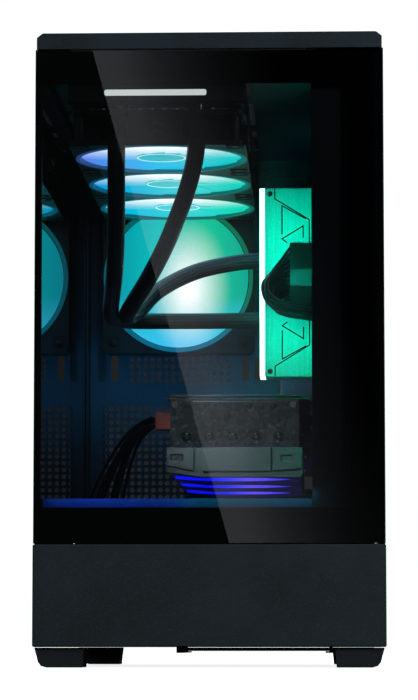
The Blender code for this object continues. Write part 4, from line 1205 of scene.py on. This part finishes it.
def make_card():
    shroud, bracket = Box("gpu_shroud"), Box("gpu_end_bracket")
    low, high = shroud.z0, shroud.z1
    left, right = shroud.x0, shroud.x1
    front, back = shroud.d0, shroud.d1
    fans_x = 13.5
    fan_ds = [Box(f"gpu_fan_rotor_{k}").d for k in (1, 2, 3)]
    outline = [(left, high), (right, high), (right, low + 1.5), (right - 1.5, low), (-9, low),
               (left + 1, low + 3.6), (left, low + 5)]
    body = Shape().prism("d", outline, front + 1.6, back)
    bores = Shape()
    for d in fan_ds:
        bores.rod("z", (fans_x, d), 45.2, low - 5, high + 5, 72)
    cavity = Shape().prism("d", [(left + 2, high + 1), (right - 2, high + 1), (right - 2, low + 3),
                                 (-8, low + 3), (left + 2, low + 7)],
                           front + 4, back - 3)
    piece("card_shroud", body, "grey", replaces=["gpu_shroud"], cuts=[cavity, bores], edge=0.4)
    blocks = Shape()
    blocks.prism("d", [(left + 0.2, high), (-14.7, high), (-14.7, low + 4.6), (left + 0.2, low + 8.2)], front,
                 front + 1.8)
    blocks.prism("d", [(-9, high), (38.8, high), (38.8, low + 4.2), (-9, low + 4.2)], front, front + 1.8)
    blocks.prism("d", [(40.2, high), (right - 0.6, high), (right - 0.6, low + 6), (40.2, low + 4.4)], front,
                 front + 1.8)
    windows = Shape()
    windows.prism("d", rounded((-31, -22), (143, 147), 0.8, 3), front - 2, front + 1.5)
    windows.prism("d", rounded((46, 54), (142, 146.4), 0.8, 3), front - 2, front + 1.5)
    piece("card_shroud_end", blocks, "grey", cuts=[windows], edge=0.6, segments=3)
    bars = Shape()
    for k in range(4):
        x = -30.2 + 2.2 * k
        bars.box((x, x + 1.0), (front + 0.7, front + 1.4), (143.2, 146.8))
    piece("card_shroud_vent_bars", bars, "plastic")
    for number, d in enumerate(fan_ds, 1):
        rotor = Box(f"gpu_fan_rotor_{number}")
        wings = blades(Shape(), "z", (fans_x, d), 9, 16.4, 43.7, rotor.z0 + 0.3, rotor.z0 + 2.6,
                       2 * pi / 9 * 1.24, 0.42, 0.9)
        name = f"gpu_fan_rotor_{number}"
        piece(f"card_fan_{number}_blades", wings, f"violet_{number}", name, replaces=[name])
        hub = lathe(Shape(), "z", (fans_x, d), [(15.4, rotor.z0 + 0.1), (17, rotor.z0 + 1.4), (17, rotor.z1)],
                    56)
        piece(f"card_fan_{number}_hub", hub, f"violet_{number}", name)
        rim = [(43.2, rotor.z0 + 0.4), (43.9, rotor.z0 + 0.4), (43.9, rotor.z0 + 2.4), (43.2, rotor.z0 + 2.4)]
        piece(f"card_fan_{number}_rim", Shape().turned("z", (fans_x, d), rim, 72), f"violet_{number}",
              name)
    pipes_x = (-19.5, -3.7, 12.7, 28.7, 44.8)
    plate_low, plate_high = bracket.z0, bracket.z1
    face, rear = bracket.d0, bracket.d1
    plate = [(bracket.x0, plate_low), (bracket.x1, plate_low), (bracket.x1, plate_high - 1.2),
             (bracket.x1 - 1.4, plate_high)]
    plate += [(bracket.x0 + 1.4, plate_high), (bracket.x0, plate_high - 1.2)]
    openings = Shape()
    for x in pipes_x:
        openings.rod("d", (x, 159), 3.9, face - 2, rear + 2, 28)
    openings.prism("d", rounded((-22, -15.7), (168, 181), 0.8, 3), face - 2, rear + 2)
    openings.prism("d", rounded((42.8, 49.6), (172, 178), 0.8, 3), face - 2, rear + 2)
    piece("card_bracket", Shape().prism("d", plate, face + 0.35, rear), "zinc",
          replaces=["gpu_end_bracket"],
          cuts=[openings], edge=0.15)
    fold = [(-16, plate_high - 1.5), (46.8, plate_high - 1.5), (46.8, 180.6), (43.6, 177.2), (16.4, 177.2),
            (11, 181.4), (-16, 181.4)]
    piece("card_bracket_fold", Shape().prism("d", fold, face + 0.02, face + 0.34), "zinc")
    lip = [(face + 0.02, plate_high - 1.5), (face + 0.9, plate_high - 0.02), (face + 1.15, plate_high - 0.02),
           (face + 0.33, plate_high - 1.5)]
    piece("card_bracket_lip", Shape().prism("x", lip, -15.6, 46.4), "steel_bright")
    heads = Shape()
    for x, z, r in ((23.5, 180.9, 2.2), (40.4, 180.9, 2.2)):
        lathe(heads, "d", (x, z), [(r * 0.7, face - 0.55), (r, face - 0.3), (r, face + 0.1)], 24)
    piece("card_bracket_screws", heads, "nickel")
    nuts = Shape()
    for x in (-28, 54.6):
        nuts.prism("d", hexagon((x, plate_high - 3.4), 2.5), face - 0.7, face + 0.5)
    piece("card_bracket_nuts", nuts, "nickel", edge=0.2)
    pipes = Shape()
    for x in pipes_x:
        profile = [(1.2, face - 0.45), (2.5, face - 0.2), (3.3, face + 0.6), (3.5, face + 1.6),
                   (3.5, back - 6)]
        lathe(pipes, "d", (x, 159), profile, 28)
    piece("card_heat_pipes", pipes, "nickel", replaces=["gpu_heatsink"])
    fins = Shape()
    for d in spaced(front + 6.5, back - 9.5, 110):
        fins.box((-31, 58), (d - 0.2, d + 0.2), (152.4, 184.8))
    piece("card_fins", fins, "fins")
    edges = Shape()
    for x in (-31, 57.2):
        for height in ((152.4, 156.5), (181, 184.8)):
            edges.box((x, x + 0.8), (front + 6, back - 9), height)
    piece("card_fin_rails", edges, "fins")
    board_box = Box("gpu_board")
    pcb = Shape().prism("z", rounded((board_box.x0, 66), (board_box.d0, board_box.d1), 1.5, 3), board_box.z0,
                        board_box.z1)
    pcb.box((60, 81.6), (290, 372), (board_box.z0, board_box.z1))
    piece("card_board", pcb, "board", replaces=["gpu_board"])
    contacts = Shape()
    for d in spaced(292, 370, 60):
        contacts.box((76, 81.4), (d - 0.45, d + 0.45), (board_box.z0 - 0.05, board_box.z1 + 0.05))
    piece("card_contacts", contacts, "gold")
    cover = Box("gpu_backplate")
    outline = rounded((cover.x0, cover.x1), (cover.d0, cover.d1), 2.5, 4)
    vents = Shape()
    for k in range(9):
        vents.prism("z", stroke([(-20, 352 + 6.4 * k), (44, 346 + 6.4 * k)], 2.6), 180, 195)
    piece("card_backplate", Shape().prism("z", outline, cover.z0, cover.z1), "plastic",
          replaces=["gpu_backplate"], cuts=[vents], edge=0.3)
    screws = Shape()
    for x, d in ((-28, 124), (56, 124), (-28, 264), (56, 264), (-28, 340), (56, 340), (-8, 236), (30, 236),
                 (-8, 290), (30, 290)):
        lathe(screws, "z", (x, d), [(2.2, cover.z1 - 0.5), (2.2, cover.z1 - 0.15), (1.7, cover.z1 - 0.02)],
              20)
    piece("card_backplate_screws", screws, "screw")
    slot = Box("gpu_slot_bracket")
    sockets = Shape()
    for k in range(3):
        sockets.prism("d", rounded((-10 + 26 * k, 8 + 26 * k), (171, 178), 1.0, 3), slot.d0 - 2, slot.d1 + 2)
    for k in range(9):
        for j in range(2):
            sockets.prism("d", rounded((-15 + 9 * k, -9.6 + 9 * k), (152.5 + 8 * j, 157 + 8 * j), 1.2, 3),
                          slot.d0 - 2, slot.d1 + 2)
    plate = Shape().prism("d", rounded((slot.x0, slot.x1), (slot.z0, slot.z1), 0.8, 3), slot.d0, slot.d1)
    piece("card_slot_bracket", plate, "steel_bright", replaces=["gpu_slot_bracket"],
          cuts=[sockets], edge=0.15)
    shells = Shape()
    for k in range(3):
        outer = rounded((-10.6 + 26 * k, 8.6 + 26 * k), (170.4, 178.6), 1.4, 4)
        inner = rounded((-9.6 + 26 * k, 7.6 + 26 * k), (171.4, 177.6), 1.0, 4)
        shells.join(ring_plate("d", outer, inner, slot.d0 - 14, slot.d0 - 0.1))
        shells.box((-7 + 26 * k, 5 + 26 * k), (slot.d0 - 13, slot.d0 - 1.5), (174, 175.2))
    piece("card_ports", shells, "plastic")


CARD_CABLE = [
    (-40.4, 165, 173.4), (-47, 165, 173.0), (-57, 167, 167), (-67, 173, 155), (-76, 184, 139),
    (-83, 197, 124),
    (-86.5, 207, 111), (-87, 213, 98), (-82, 224, 80), (-68, 242, 62), (-44, 260, 50), (-20, 272, 45),
    (-20, 279.4, 45),
]


def make_card_power():
    plug = Box("gpu_power_plug")
    body = Shape().box((plug.x0, plug.x1), (plug.d0, plug.d1), (plug.z0, plug.z1))
    sockets, starts = Shape(), []
    for k in range(4):
        for j in range(2):
            spot = (plug.d0 + 3.4 + 4.4 * k, plug.z0 + 3.2 + 4.6 * j)
            hole = rounded((spot[0] - 1.8, spot[0] + 1.8), (spot[1] - 1.8, spot[1] + 1.8), 0.5, 2)
            sockets.prism("x", hole, plug.x0 - 1, plug.x0 + 3.6)
            starts.append((plug.x0 + 3.2, *spot))
    piece("card_plug", body, "red", replaces=["gpu_power_plug"], cuts=[sockets], edge=0.4)
    ribs = Shape()
    for k in range(5):
        d = plug.d0 + 2.2 + 3.9 * k
        ribs.box((plug.x0 + 4.4, plug.x1 - 0.6), (d - 0.5, d + 0.5), (plug.z1 - 0.3, plug.z1 - 0.02))
    piece("card_plug_ribs", ribs, "red")
    loose = [(5 + (i - 3.5) * 4.4 + 1.2 * sin(i * 1.9), 2.4 * sin(i * 2.6)) for i in (1, 0, 3, 2, 5, 4, 7, 6)]
    tight = [((i // 4 - 0.5) * 3.0, (i % 4 - 1.5) * 3.0) for i in range(8)]
    wires = bundle(Shape(), CARD_CABLE, loose, tight, 1.25, 90, starts, 0.62, (0.64, 0.80), (0, 0, -1), 10)
    piece("card_power_wires", wires, "wire", replaces=["gpu_power_cable"])


def make_supply():
    supply = Box("psu_housing")
    x, d, z = (supply.x0, supply.x1), (supply.d0, supply.d1), (supply.z0, supply.z1)
    shell = Shape().prism("d", rounded(x, z, 1.6, 3), *d)
    inside = Shape().box((x[0] + 1.2, x[1] - 1.2), (d[0] + 1.2, d[1] - 1.2), (z[0] + 1.2, z[1] - 1.2))
    vents = Shape()
    pitch = 5.6
    for row in range(14):
        for column in range(22):
            u = -10.5 + pitch * column + (pitch / 2 if row % 2 else 0)
            v = 26 + pitch * 0.866 * row
            if u < 104.5 and v < 93:
                vents.prism("d", hexagon((u, v), 2.75), d[1] - 4, d[1] + 2)
    inlet = Shape().box((-38.3, -13.7), (d[1] - 4, d[1] + 2), (25.7, 90.3))
    fan = (35, 348)
    rings = [(21, 27), (29.5, 35.5), (38, 44), (46.5, 52.5), (55, 60)]
    grille = cut_grille(Shape(), "z", fan, rings, 0, 1.8, z[0] - 3, z[0] + 5)
    piece("supply_case", shell, "supply", replaces=["psu_housing"],
          cuts=[inside, vents, inlet, grille], edge=0.2)
    wells = Shape()
    socket = Box("psu_inlet")
    sides, back = (socket.x0, socket.x1), (socket.d0, socket.d1)
    body = Shape().prism("d", rounded(sides, (socket.z0, socket.z1), 1.2, 4), *back)
    wells.prism("d", rounded((-36.5, -15.5), (64, 84), 2.4, 5), 400, back[1] + 2)
    wells.prism("d", rounded((-35.5, -16.5), (29, 49), 1.0, 4), 408, back[1] + 2)
    piece("inlet_block", body, "plastic", replaces=["psu_inlet"], cuts=[wells], edge=0.2)
    pins = Shape()
    for u, v in ((-31, 70), (-21, 70), (-26, 78)):
        pins.box((u - 1, u + 1), (399, 413), (v - 2, v + 2))
    piece("inlet_pins", pins, "nickel", edge=0.3)
    motor = lathe(Shape(), "z", fan, [(12, 44), (12, z[1] - 1.1)], 32)
    motor.join(ring_plate("z", circle(fan, 66, 48), circle(fan, 60.5, 48), z[0] + 1.2, z[0] + 26))
    piece("supply_fan_housing", motor, "plastic")
    stickers = Shape().prism("x", rounded((300, 396), (28, 84), 2, 3), x[0] - 0.02, x[0] + 0.3)
    piece("supply_blank_plate", stickers, "plastic")
    rotor = Box("psu_fan_rotor")
    wings = blades(Shape(), "z", fan, 11, 19.5, 57.6, rotor.z0 + 0.4, rotor.z1 - 4, 2 * pi / 11 * 0.92, 0.4)
    piece("supply_fan_blades", wings, "dim_blades", "psu_fan_rotor", replaces=["psu_fan_rotor"])
    hub = lathe(Shape(), "z", fan, [(18.4, rotor.z0), (20, rotor.z0 + 1.6), (20, rotor.z1)], 56)
    piece("supply_fan_hub", hub, "dim_blades", "psu_fan_rotor")
    paint("psu_switch", "gloss", 0.3)
    marks = Shape()
    marks.box((-26.4, -25.6), (418.55, 418.95), (42.4, 46.6))
    # the switch mark glows: painted light
    piece("switch_mark", marks, "label", "psu_switch")


def cut_grille(shape, axis, centre, rings, first, half_bar, low, high):
    """Ring-shaped openings in quarters, with four straight bars of even width left between them."""
    for inner, outer in rings:
        lean_in, lean_out = (half_bar / radius * 180 / pi for radius in (inner, outer))
        for turn in range(first, first + 360, 90):
            edge = arc(centre, outer, turn + lean_out, turn + 90 - lean_out, 14)
            edge += arc(centre, inner, turn + 90 - lean_in, turn + lean_in, 14)
            shape.prism(axis, edge, low, high)
    return shape


# ---------------------------------------------------------------- the steel case


def make_rear_panel():
    x, d, z = (-109.9, 113.4), (420.3, 421.5), (14.8, 410.6)
    through = (d[0] - 2, d[1] + 3)
    wall = Shape().box(x, d, z)
    big = Shape()
    big.box((-37, 107), through, (18, 98)).box((41.2, 85.8), through, (192.6, 351.4))
    for k in range(3):
        big.box((-20, 80), through, (118 + 20.3 * k, 134 + 20.3 * k))
    for a, b, c, e in ((-103.5, -98.1, 224, 254), (-93.2, -87.7, 224, 246), (11.2, 16.9, 225, 243),
                       (21.7, 27.3, 225, 243),
                       (-103.3, -99.8, 330, 360)):
        big.prism("d", rounded((a, b), (c, e), min(2.6, (b - a) / 2 - 0.05), 5), *through)
    for place in ((108, 140), (-104.5, 380)):
        big.rod("d", place, 2.3, *through, sides=20)
    fan = (-38.5, 305)
    rings = [(14, 20.5), (23, 29.5), (32, 38.5), (41, 47.5), (50, 55.5)]
    cut_grille(big, "d", fan, rings, 45, 1.7, *through)
    for a in (-1, 1):
        for b in (-1, 1):
            big.rod("d", (fan[0] + a * FAN_SCREW, fan[1] + b * FAN_SCREW), 2.4, *through, sides=16)
    small = Shape()
    for row in range(17):
        for column in range(12):
            small.rod("d", (-98.6 + 5.6 * column, 202.6 - 5.4 * row), 1.85, *through, sides=12)
    for row in range(4):
        for column in range(15):
            small.rod("d", (-76.6 + 5.5 * column, 242.2 - 5.5 * row), 1.85, *through, sides=12)
    piece("rear_sheet", wall, "inside", replaces=["rear_panel"], cuts=[big, small], edge=0.15)
    rim = ring_plate("d", rounded((-80.6, 4.2), (221.8, 246.2), 3.5, 5),
                     rounded((-79.4, 3.0), (223.0, 245.0), 2.6, 5), d[0] - 0.35, d[0] + 0.02)
    piece("vent_frame", rim, "inside")
    blanks = Shape()
    for k in (0, 2):
        z0 = 117.4 + 20.3 * k
        blanks.box((-21, 81), (d[0] - 0.9, d[0] - 0.1), (z0, z0 + 17.2))
    slots = Shape()
    for k in (0, 2):
        for j in range(12):
            x0 = -15 + 7.6 * j
            slots.prism("d", rounded((x0, x0 + 5), (121.4 + 20.3 * k, 130.6 + 20.3 * k), 2.2, 4), d[0] - 3,
                        d[0] + 2)
    piece("slot_covers", blanks, "inside", cuts=[slots])
    shield = Box("io_shield")
    plate = Shape().box((shield.x0, shield.x1), (shield.d0, shield.d1), (shield.z0, shield.z1))
    sockets = Shape()
    ports = [(52, 66, 209, 221), (52, 66, 230, 242), (52, 66, 250, 262), (52, 66, 270, 282),
             (52, 68, 289, 303)]
    for a, b, c, e in ports:
        sockets.prism("d", rounded((a, b), (c, e), 0.6, 2), shield.d0 - 2, shield.d1 + 2)
    for k in range(3):
        for j in range(2):
            sockets.rod("d", (55 + 12 * j, 313 + 11 * k), 3.6, shield.d0 - 2, shield.d1 + 2, 24)
    for z0 in (216, 240):
        sockets.rod("d", (75, z0), 4.4, shield.d0 - 2, shield.d1 + 2, 24)
    piece("port_plate", plate, "steel_bright", replaces=["io_shield"], cuts=[sockets],
          edge=0.15)
    inner = Shape()
    for a, b, c, e in ports[:4]:
        for mid in ((c + e) / 2 - 3, (c + e) / 2 + 3):
            inner.box((a + 1.4, b - 1.4), (shield.d0 - 6, shield.d0 - 0.2), (mid - 0.9, mid + 0.9))
    for k in range(3):
        for j in range(2):
            ring = [(1.9, shield.d0 - 5), (3.3, shield.d0 - 5), (3.3, shield.d0 - 0.2),
                    (1.9, shield.d0 - 0.2)]
            inner.turned("d", (55 + 12 * j, 313 + 11 * k), ring, 24)
    for z0 in (216, 240):
        ring = [(2.4, shield.d0 - 4), (4.2, shield.d0 - 4), (4.2, shield.d1 - 0.1), (2.4, shield.d1 - 0.1)]
        inner.turned("d", (75, z0), ring, 24)
    piece("port_tongues", inner, "plastic")


def make_filter(label, node, bars_x, rows, ends, corners, edge, sunk, counts, half, side, front, back, tops):
    """A dust filter: a rimmed plate with bars under a woven mesh."""
    box = Box(node)
    outer_radius, inner_radius, steps = corners
    outer = rounded((box.x0, box.x1), (box.d0, box.d1), outer_radius, steps)
    inner = rounded((box.x0 + 4, box.x1 - 4), (box.d0 + ends[0], box.d1 - ends[1]), inner_radius, steps)
    rim = ring_plate("z", outer, inner, box.z0, box.z1)
    body = piece(f"{label}_frame", rim, "plastic", node, replaces=[node], edge=edge)
    across = (box.x0 + 3.8, box.x1 - 3.8)
    along = (box.d0 + ends[0] - 0.2, box.d1 - ends[1] + 0.2)
    height = (box.z0 + 0.3, box.z1 - sunk)
    bars = Shape()
    for x in bars_x:
        bars.box((x - 1, x + 1), along, height)
    for d in spaced(box.d0, box.d1, rows + 2)[1:-1]:
        bars.box(across, (d - 1, d + 1), height)
    append(body, bars)
    wires = Shape()
    for x in spaced(box.x0 + side, box.x1 - side, counts[0]):
        wires.box((x - half, x + half), along, (box.z - 0.02, box.z + tops[0]))
    for d in spaced(box.d0 + front, box.d1 - back, counts[1]):
        wires.box(across, (d - half, d + half), (box.z - 0.3, box.z + tops[1]))
    piece(f"{label}_mesh", wires, "mesh", node)


def make_case_details():
    """Filters, thumbscrews, buttons and ports."""
    make_filter("roof_filter", "top_dust_filter", (-41.7, 13.3), 5, (4, 4), (6, 3, 8), 0.4, 0.5,
                (62, 144), 0.22, 4.4, 4.4, 4.4, (0.42, 0.14))
    low = Box("psu_dust_filter")
    make_filter("supply_filter", "psu_dust_filter", (low.x,), 3, (5, 8), (2, 1.5, 6), 0.3, 0.3,
                (48, 66), 0.18, 4.2, 5.2, 8.0, (0.34, 0.10))
    for node, body, label in (("glass_thumbscrew", "side_glass", "glass_screw"),
                              ("panel_thumbscrew", "right_side_panel", "panel_screw")):
        screw = Box(node)
        centre = (screw.x, screw.z)
        seat = 423.3
        outline = []
        for k in range(64):
            t = 2 * pi * k / 64
            r = 6.0 if k % 2 else 5.55
            outline.append((centre[0] + r * cos(t), centre[1] + r * sin(t)))
        head = Shape().prism("d", outline, seat + 0.6, screw.d1 - 0.8)
        lathe(head, "d", centre, [(5.2, screw.d1 - 0.9), (4.4, screw.d1)], 40)
        lathe(head, "d", centre, [(4.9, seat), (4.9, seat + 0.7)], 40)
        lathe(head, "d", centre, [(1.5, screw.d0), (1.9, screw.d0 + 0.8), (1.9, seat + 0.2)], 20)
        slot = Shape().box((centre[0] - 3.4, centre[0] + 3.4), (screw.d1 - 1.2, screw.d1 + 1),
                           (centre[1] - 0.6, centre[1] + 0.6))
        piece(f"{label}_body", head, "screw", body, replaces=[node], cuts=[slot])
    for node, label in (("power_button", "power"), ("light_button", "light")):
        button = Box(node)
        centre = (button.x, button.d)
        radius = (button.x1 - button.x0) / 2
        cap, top = radius - 1.2, button.z1
        stem = lathe(Shape(), "z", centre, [(radius, button.z0), (radius, button.z0 + 2.2),
                                            (cap, button.z0 + 2.3),
                                            (cap, button.z1 - 0.5), (cap - 0.5, button.z1)], 56)
        piece(f"{label}_cap", stem, "gloss", node, replaces=[node])
        ring = [(cap - 1.7, top - 0.3), (cap - 0.9, top - 0.3), (cap - 0.9, top + 0.02),
                (cap - 1.7, top + 0.02)]
        piece(f"{label}_ring", Shape().turned("z", centre, ring, 56), "led_ring", node)
    strip = Box("port_strip")
    body = Shape().box((strip.x0, strip.x1), (strip.d0, strip.d1), (strip.z0, strip.z1))
    sockets, tongues, shells = Shape(), Shape(), Shape()
    x = 93.0
    for d in (66, 84):
        sockets.box((x - 2.8, x + 2.8), (d - 6.6, d + 6.6), (406, 430))
        tongues.box((x - 1.9, x - 0.1), (d - 5.6, d + 5.6), (405.5, 418.2))
        shells.join(ring_plate("z", rounded((x - 2.75, x + 2.75), (d - 6.55, d + 6.55), 0.4, 3),
                               rounded((x - 2.35, x + 2.35), (d - 6.15, d + 6.15), 0.3, 3), 406.2, 418.6))
    for d in (102, 115):
        sockets.rod("z", (x, d), 2.5, 405, 430, 32)
        shells.turned("z", (x, d), [(1.8, 407), (2.45, 407), (2.45, 418.6), (1.8, 418.6)], 32)
    piece("ports_body", body, "plastic", replaces=["port_strip"], cuts=[sockets])
    piece("ports_tongues", tongues, "plastic", edge=0.2)
    piece("ports_shells", shells, "steel_bright")


MATERIALS = make_materials()


def fan_colours():
    """The light of each fan, from its left to its right, whitest where its lamps are strongest."""
    rows = [
        ((0.10, 0.22, 0.85), (0.0, 0.48, 0.80), (0.0, 0.56, 0.55)),
        ((0.0, 0.34, 0.75), (0.0, 0.52, 0.62), (0.0, 0.60, 0.48)),
        ((0.0, 0.42, 0.70), (0.0, 0.55, 0.60), (0.0, 0.64, 0.45)),
    ]
    for number, (left, middle, right) in enumerate(rows, 1):
        seat = Box(f"radiator_fan_frame_{number}")
        MATERIALS[f"disc_{number}"] = lit_disc(
            f"lit_blades_{number}", "z", (seat.x, seat.d), 56, [(0.02, left), (0.45, middle), (0.9, right)],
            (-0.10, -0.95), (0.62, 1.0), (0.30, 1.25), 1.15)
        MATERIALS[f"rim_{number}"] = lit_disc(
            f"lit_rim_{number}", "z", (seat.x, seat.d), 60, [(0.02, left), (0.45, middle), (0.9, right)],
            (0.0, 3.0), (1.0, 1.0), (0.1, 0.2), 0.22)
    rear = Box("rear_fan_frame")
    across = [(0.0, (0.0, 0.26, 0.34)), (0.35, (0.0, 0.48, 0.46)), (0.7, (0.0, 0.52, 0.28)),
              (1.0, (0.0, 0.34, 0.24))]
    MATERIALS["disc_rear"] = lit_disc(
        "lit_blades_rear", "d", (rear.x, rear.z), 56, across, (0.14, -0.14), (1.0, 0.62), (0.10, 0.62), 1.2,
        low=(0.04, 0.52, 0.85))
    across = [(0.0, (0.0, 0.10, 0.14)), (0.5, (0.0, 0.16, 0.10)), (1.0, (0.0, 0.16, 0.06))]
    MATERIALS["rim_rear"] = lit_disc(
        "lit_rim_rear", "d", (rear.x, rear.z), 60, across, (0.0, 3.0), (1.0, 1.0), (0.1, 0.2), 1.0,
        low=(0.0, 0.14, 0.26))
    for number in (1, 2, 3):
        card = Box(f"gpu_fan_rotor_{number}")
        stops = [(0.0, (0.0, 0.0, 0.80)), (0.35, (0.005, 0.0, 0.95)), (0.6, (0.10, 0.06, 0.90)),
                 (1.0, (0.03, 0.01, 0.75))]
        MATERIALS[f"violet_{number}"] = lit_disc(
            f"violet_blades_{number}", "z", (card.x, card.d), 44, stops, (0.36, -0.85), (1.6, 0.8),
            (0.10, 0.60), 1.2, hot=(0.85, 0.72, 1.0), pair=True)


def paint_plain_nodes():
    """Materials on the CAD nodes that keep their shape."""
    plain = {
        "motherboard_tray": "inside", "top_frame": "inside", "front_frame": "steel", "psu_shroud": "inside",
        "front_column": "steel",
    }
    for node, material in plain.items():
        paint(node, material, 0.15)


make_camera()
make_stage()
make_inner_lights()
fan_colours()
make_shell()
paint_plain_nodes()
make_case_fans()
make_radiator()
make_hoses()
make_pump()
make_memory()
make_motherboard()
make_power_plug()
make_card()
make_card_power()
make_supply()
make_rear_panel()
make_case_details()
